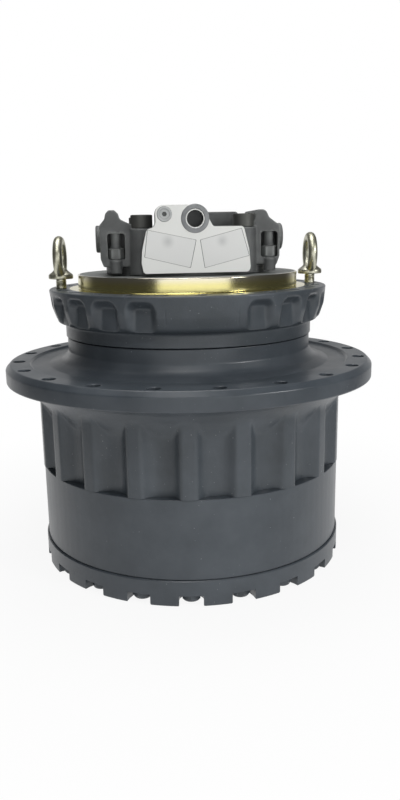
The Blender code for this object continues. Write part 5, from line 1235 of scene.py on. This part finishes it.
NUMBERS = (1, 2, 3)
INSIDE = {
    GEAR_STEEL: ["input_shaft", "first_carrier", "second_sun", "second_carrier", "bearing_nut"],
    BEARING_STEEL: [
        "counterbalance_spool", "fixed_seal_ring", "moving_seal_ring", "upper_bearing_cone",
        "upper_bearing_cup", "lower_bearing_cone", "lower_bearing_cup",
    ],
    BRONZE: ["thrust_pad"],
}
INSIDE[GEAR_STEEL] += [f"first_planet_{number}" for number in NUMBERS]
INSIDE[GEAR_STEEL] += [f"second_planet_{number}" for number in NUMBERS]
INSIDE[BEARING_STEEL] += [f"second_pin_{number}" for number in NUMBERS]
for material, names in INSIDE.items():
    for name in names:
        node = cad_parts[name]
        node.data.materials.clear()
        node.data.materials.append(material)


# Stage, light and camera

WHITE = (1.0, 1.0, 1.0, 1.0)
FLOOR_REACH = 1.2
FLOOR_LEVEL = -0.6 * MM
FLOOR_FADE = (0.25, 0.80)
FLOOR_SHARE = 0.91
BACKDROP_DEPTH = (0.45, 0.95)
BACKDROP_HEIGHT = (0.05, 0.32)
ABOVE_BACKDROP = 0.2
ROOM_STRENGTH = 0.07


def ray_kinds(tree):
    """Sockets that are 1 for camera rays, and 1 for mirrored and transmitted rays."""
    path = add(tree, "ShaderNodeLightPath", out=None).outputs
    passed = add(tree, MATH, {"operation": "MAXIMUM"},
                 {0: path["Is Glossy Ray"], 1: path["Is Transmission Ray"]})
    return path["Is Camera Ray"], passed


def make_stage():
    """Pale floor that keeps the object's shadow, and a white backdrop. Metal mirrors the lower
    part of the backdrop behind the object, and elsewhere the dim room."""
    reach, level = FLOOR_REACH, FLOOR_LEVEL
    floor_mesh = bpy.data.meshes.new("floor")
    corners = ((-reach, -reach), (reach, -reach), (reach, reach), (-reach, reach))
    floor_mesh.from_pydata([(x, y, level) for x, y in corners], [], [(0, 1, 2, 3)])
    floor = linked("floor", floor_mesh)
    material, tree, place = start_material("pale_floor")
    camera, mirrored = ray_kinds(tree)
    seen = add(tree, MATH, {"operation": "MAXIMUM"}, {0: camera, 1: mirrored})
    away = add(tree, VECTOR, {"operation": "LENGTH"}, {0: place}, "Value")
    fade = add(tree, RAMP, {"interpolation_type": "SMOOTHSTEP"}, {
        "Value": away, "From Min": FLOOR_FADE[0], "From Max": FLOOR_FADE[1],
        "To Min": FLOOR_SHARE, "To Max": 1.0,
    })
    share = add(tree, MATH, {"operation": "MULTIPLY"}, {0: seen, 1: fade})
    matt = add(tree, "ShaderNodeBsdfDiffuse", inputs={"Color": hex_colour("F4F4F4")})
    white = add(tree, "ShaderNodeEmission", inputs={"Color": WHITE, "Strength": 1.0})
    end_material(tree, add(tree, "ShaderNodeMixShader", inputs={0: share, 1: matt, 2: white}))
    floor_mesh.materials.append(material)

    world = bpy.data.worlds.new("white_surround")
    world.use_nodes = True
    tree = world.node_tree
    tree.nodes.clear()
    camera, mirrored = ray_kinds(tree)
    ray = add(tree, "ShaderNodeTexCoord", out="Generated")
    heading = add(tree, "ShaderNodeSeparateXYZ", inputs={0: ray}, out=None).outputs
    behind = add(tree, RAMP, {"interpolation_type": "SMOOTHSTEP"}, {
        "Value": heading[1], "From Min": BACKDROP_DEPTH[0], "From Max": BACKDROP_DEPTH[1],
    })
    below = add(tree, RAMP, {"interpolation_type": "SMOOTHSTEP"}, {
        "Value": heading[2], "From Min": BACKDROP_HEIGHT[0], "From Max": BACKDROP_HEIGHT[1],
        "To Min": 1.0, "To Max": ABOVE_BACKDROP,
    })
    backdrop = add(tree, MATH, {"operation": "MULTIPLY"}, {0: behind, 1: below})
    shown = add(tree, MATH, {"operation": "MULTIPLY"}, {0: mirrored, 1: backdrop})
    seen = add(tree, MATH, {"operation": "MAXIMUM"}, {0: camera, 1: shown})
    dim = add(tree, "ShaderNodeBackground", inputs={"Color": WHITE, "Strength": ROOM_STRENGTH})
    white = add(tree, "ShaderNodeBackground", inputs={"Color": WHITE, "Strength": 1.0})
    both = add(tree, "ShaderNodeMixShader", inputs={0: seen, 1: dim, 2: white})
    add(tree, "ShaderNodeOutputWorld", inputs={"Surface": both}, out=None)
    bpy.context.scene.world = world


def make_lamp(name, place, target, width, height, power):
    light = bpy.data.lights.new(name, "AREA")
    light.shape = "RECTANGLE"
    light.size, light.size_y = width, height
    light.energy = power
    lamp = linked(name, light)
    lamp.location = place
    lamp.rotation_euler = (Vector(target) - Vector(place)).to_track_quat("-Z", "Y").to_euler()


# The photograph's view: 33 mm lens from 1.1 m, a little left of the port face's normal
SENSOR_WIDTH = 36.0
FOCAL_LENGTH = SENSOR_WIDTH * 734.6 / 800.0
VIEWPOINT = (-0.1015, -1.1168, 0.4842)
ELEVATION, AZIMUTH, ROLL = math.radians(12.77), math.radians(6.0), math.radians(0.96)


def make_camera():
    camera = bpy.data.cameras.new("camera")
    camera.sensor_width = SENSOR_WIDTH
    camera.lens = FOCAL_LENGTH
    view = linked("camera", camera)
    level = math.cos(ELEVATION)
    forward = Vector((math.sin(AZIMUTH) * level, math.cos(AZIMUTH) * level, -math.sin(ELEVATION)))
    turn = forward.to_track_quat("-Z", "Y").to_matrix().to_4x4()
    view.matrix_world = Matrix.Translation(VIEWPOINT) @ turn @ Matrix.Rotation(-ROLL, 4, "Z")
    bpy.context.scene.camera = view


make_stage()
MIDDLE = (0.0, 0.0, 0.3)
make_lamp("front_window", (0.05, -2.3, 0.42), MIDDLE, 3.3, 1.0, 17.0)
make_lamp("key_softbox", (1.6, -1.5, 1.15), MIDDLE, 0.5, 0.5, 19.0)
make_lamp("top_softbox", (-0.1, 0.1, 2.0), MIDDLE, 1.3, 1.1, 16.5)
make_lamp("ceiling_strip", (-0.2, -1.2, 1.9), (0.0, -0.1, 0.3), 0.9, 0.2, 8.0)
make_camera()
bpy.context.scene.view_settings.view_transform = "Standard"
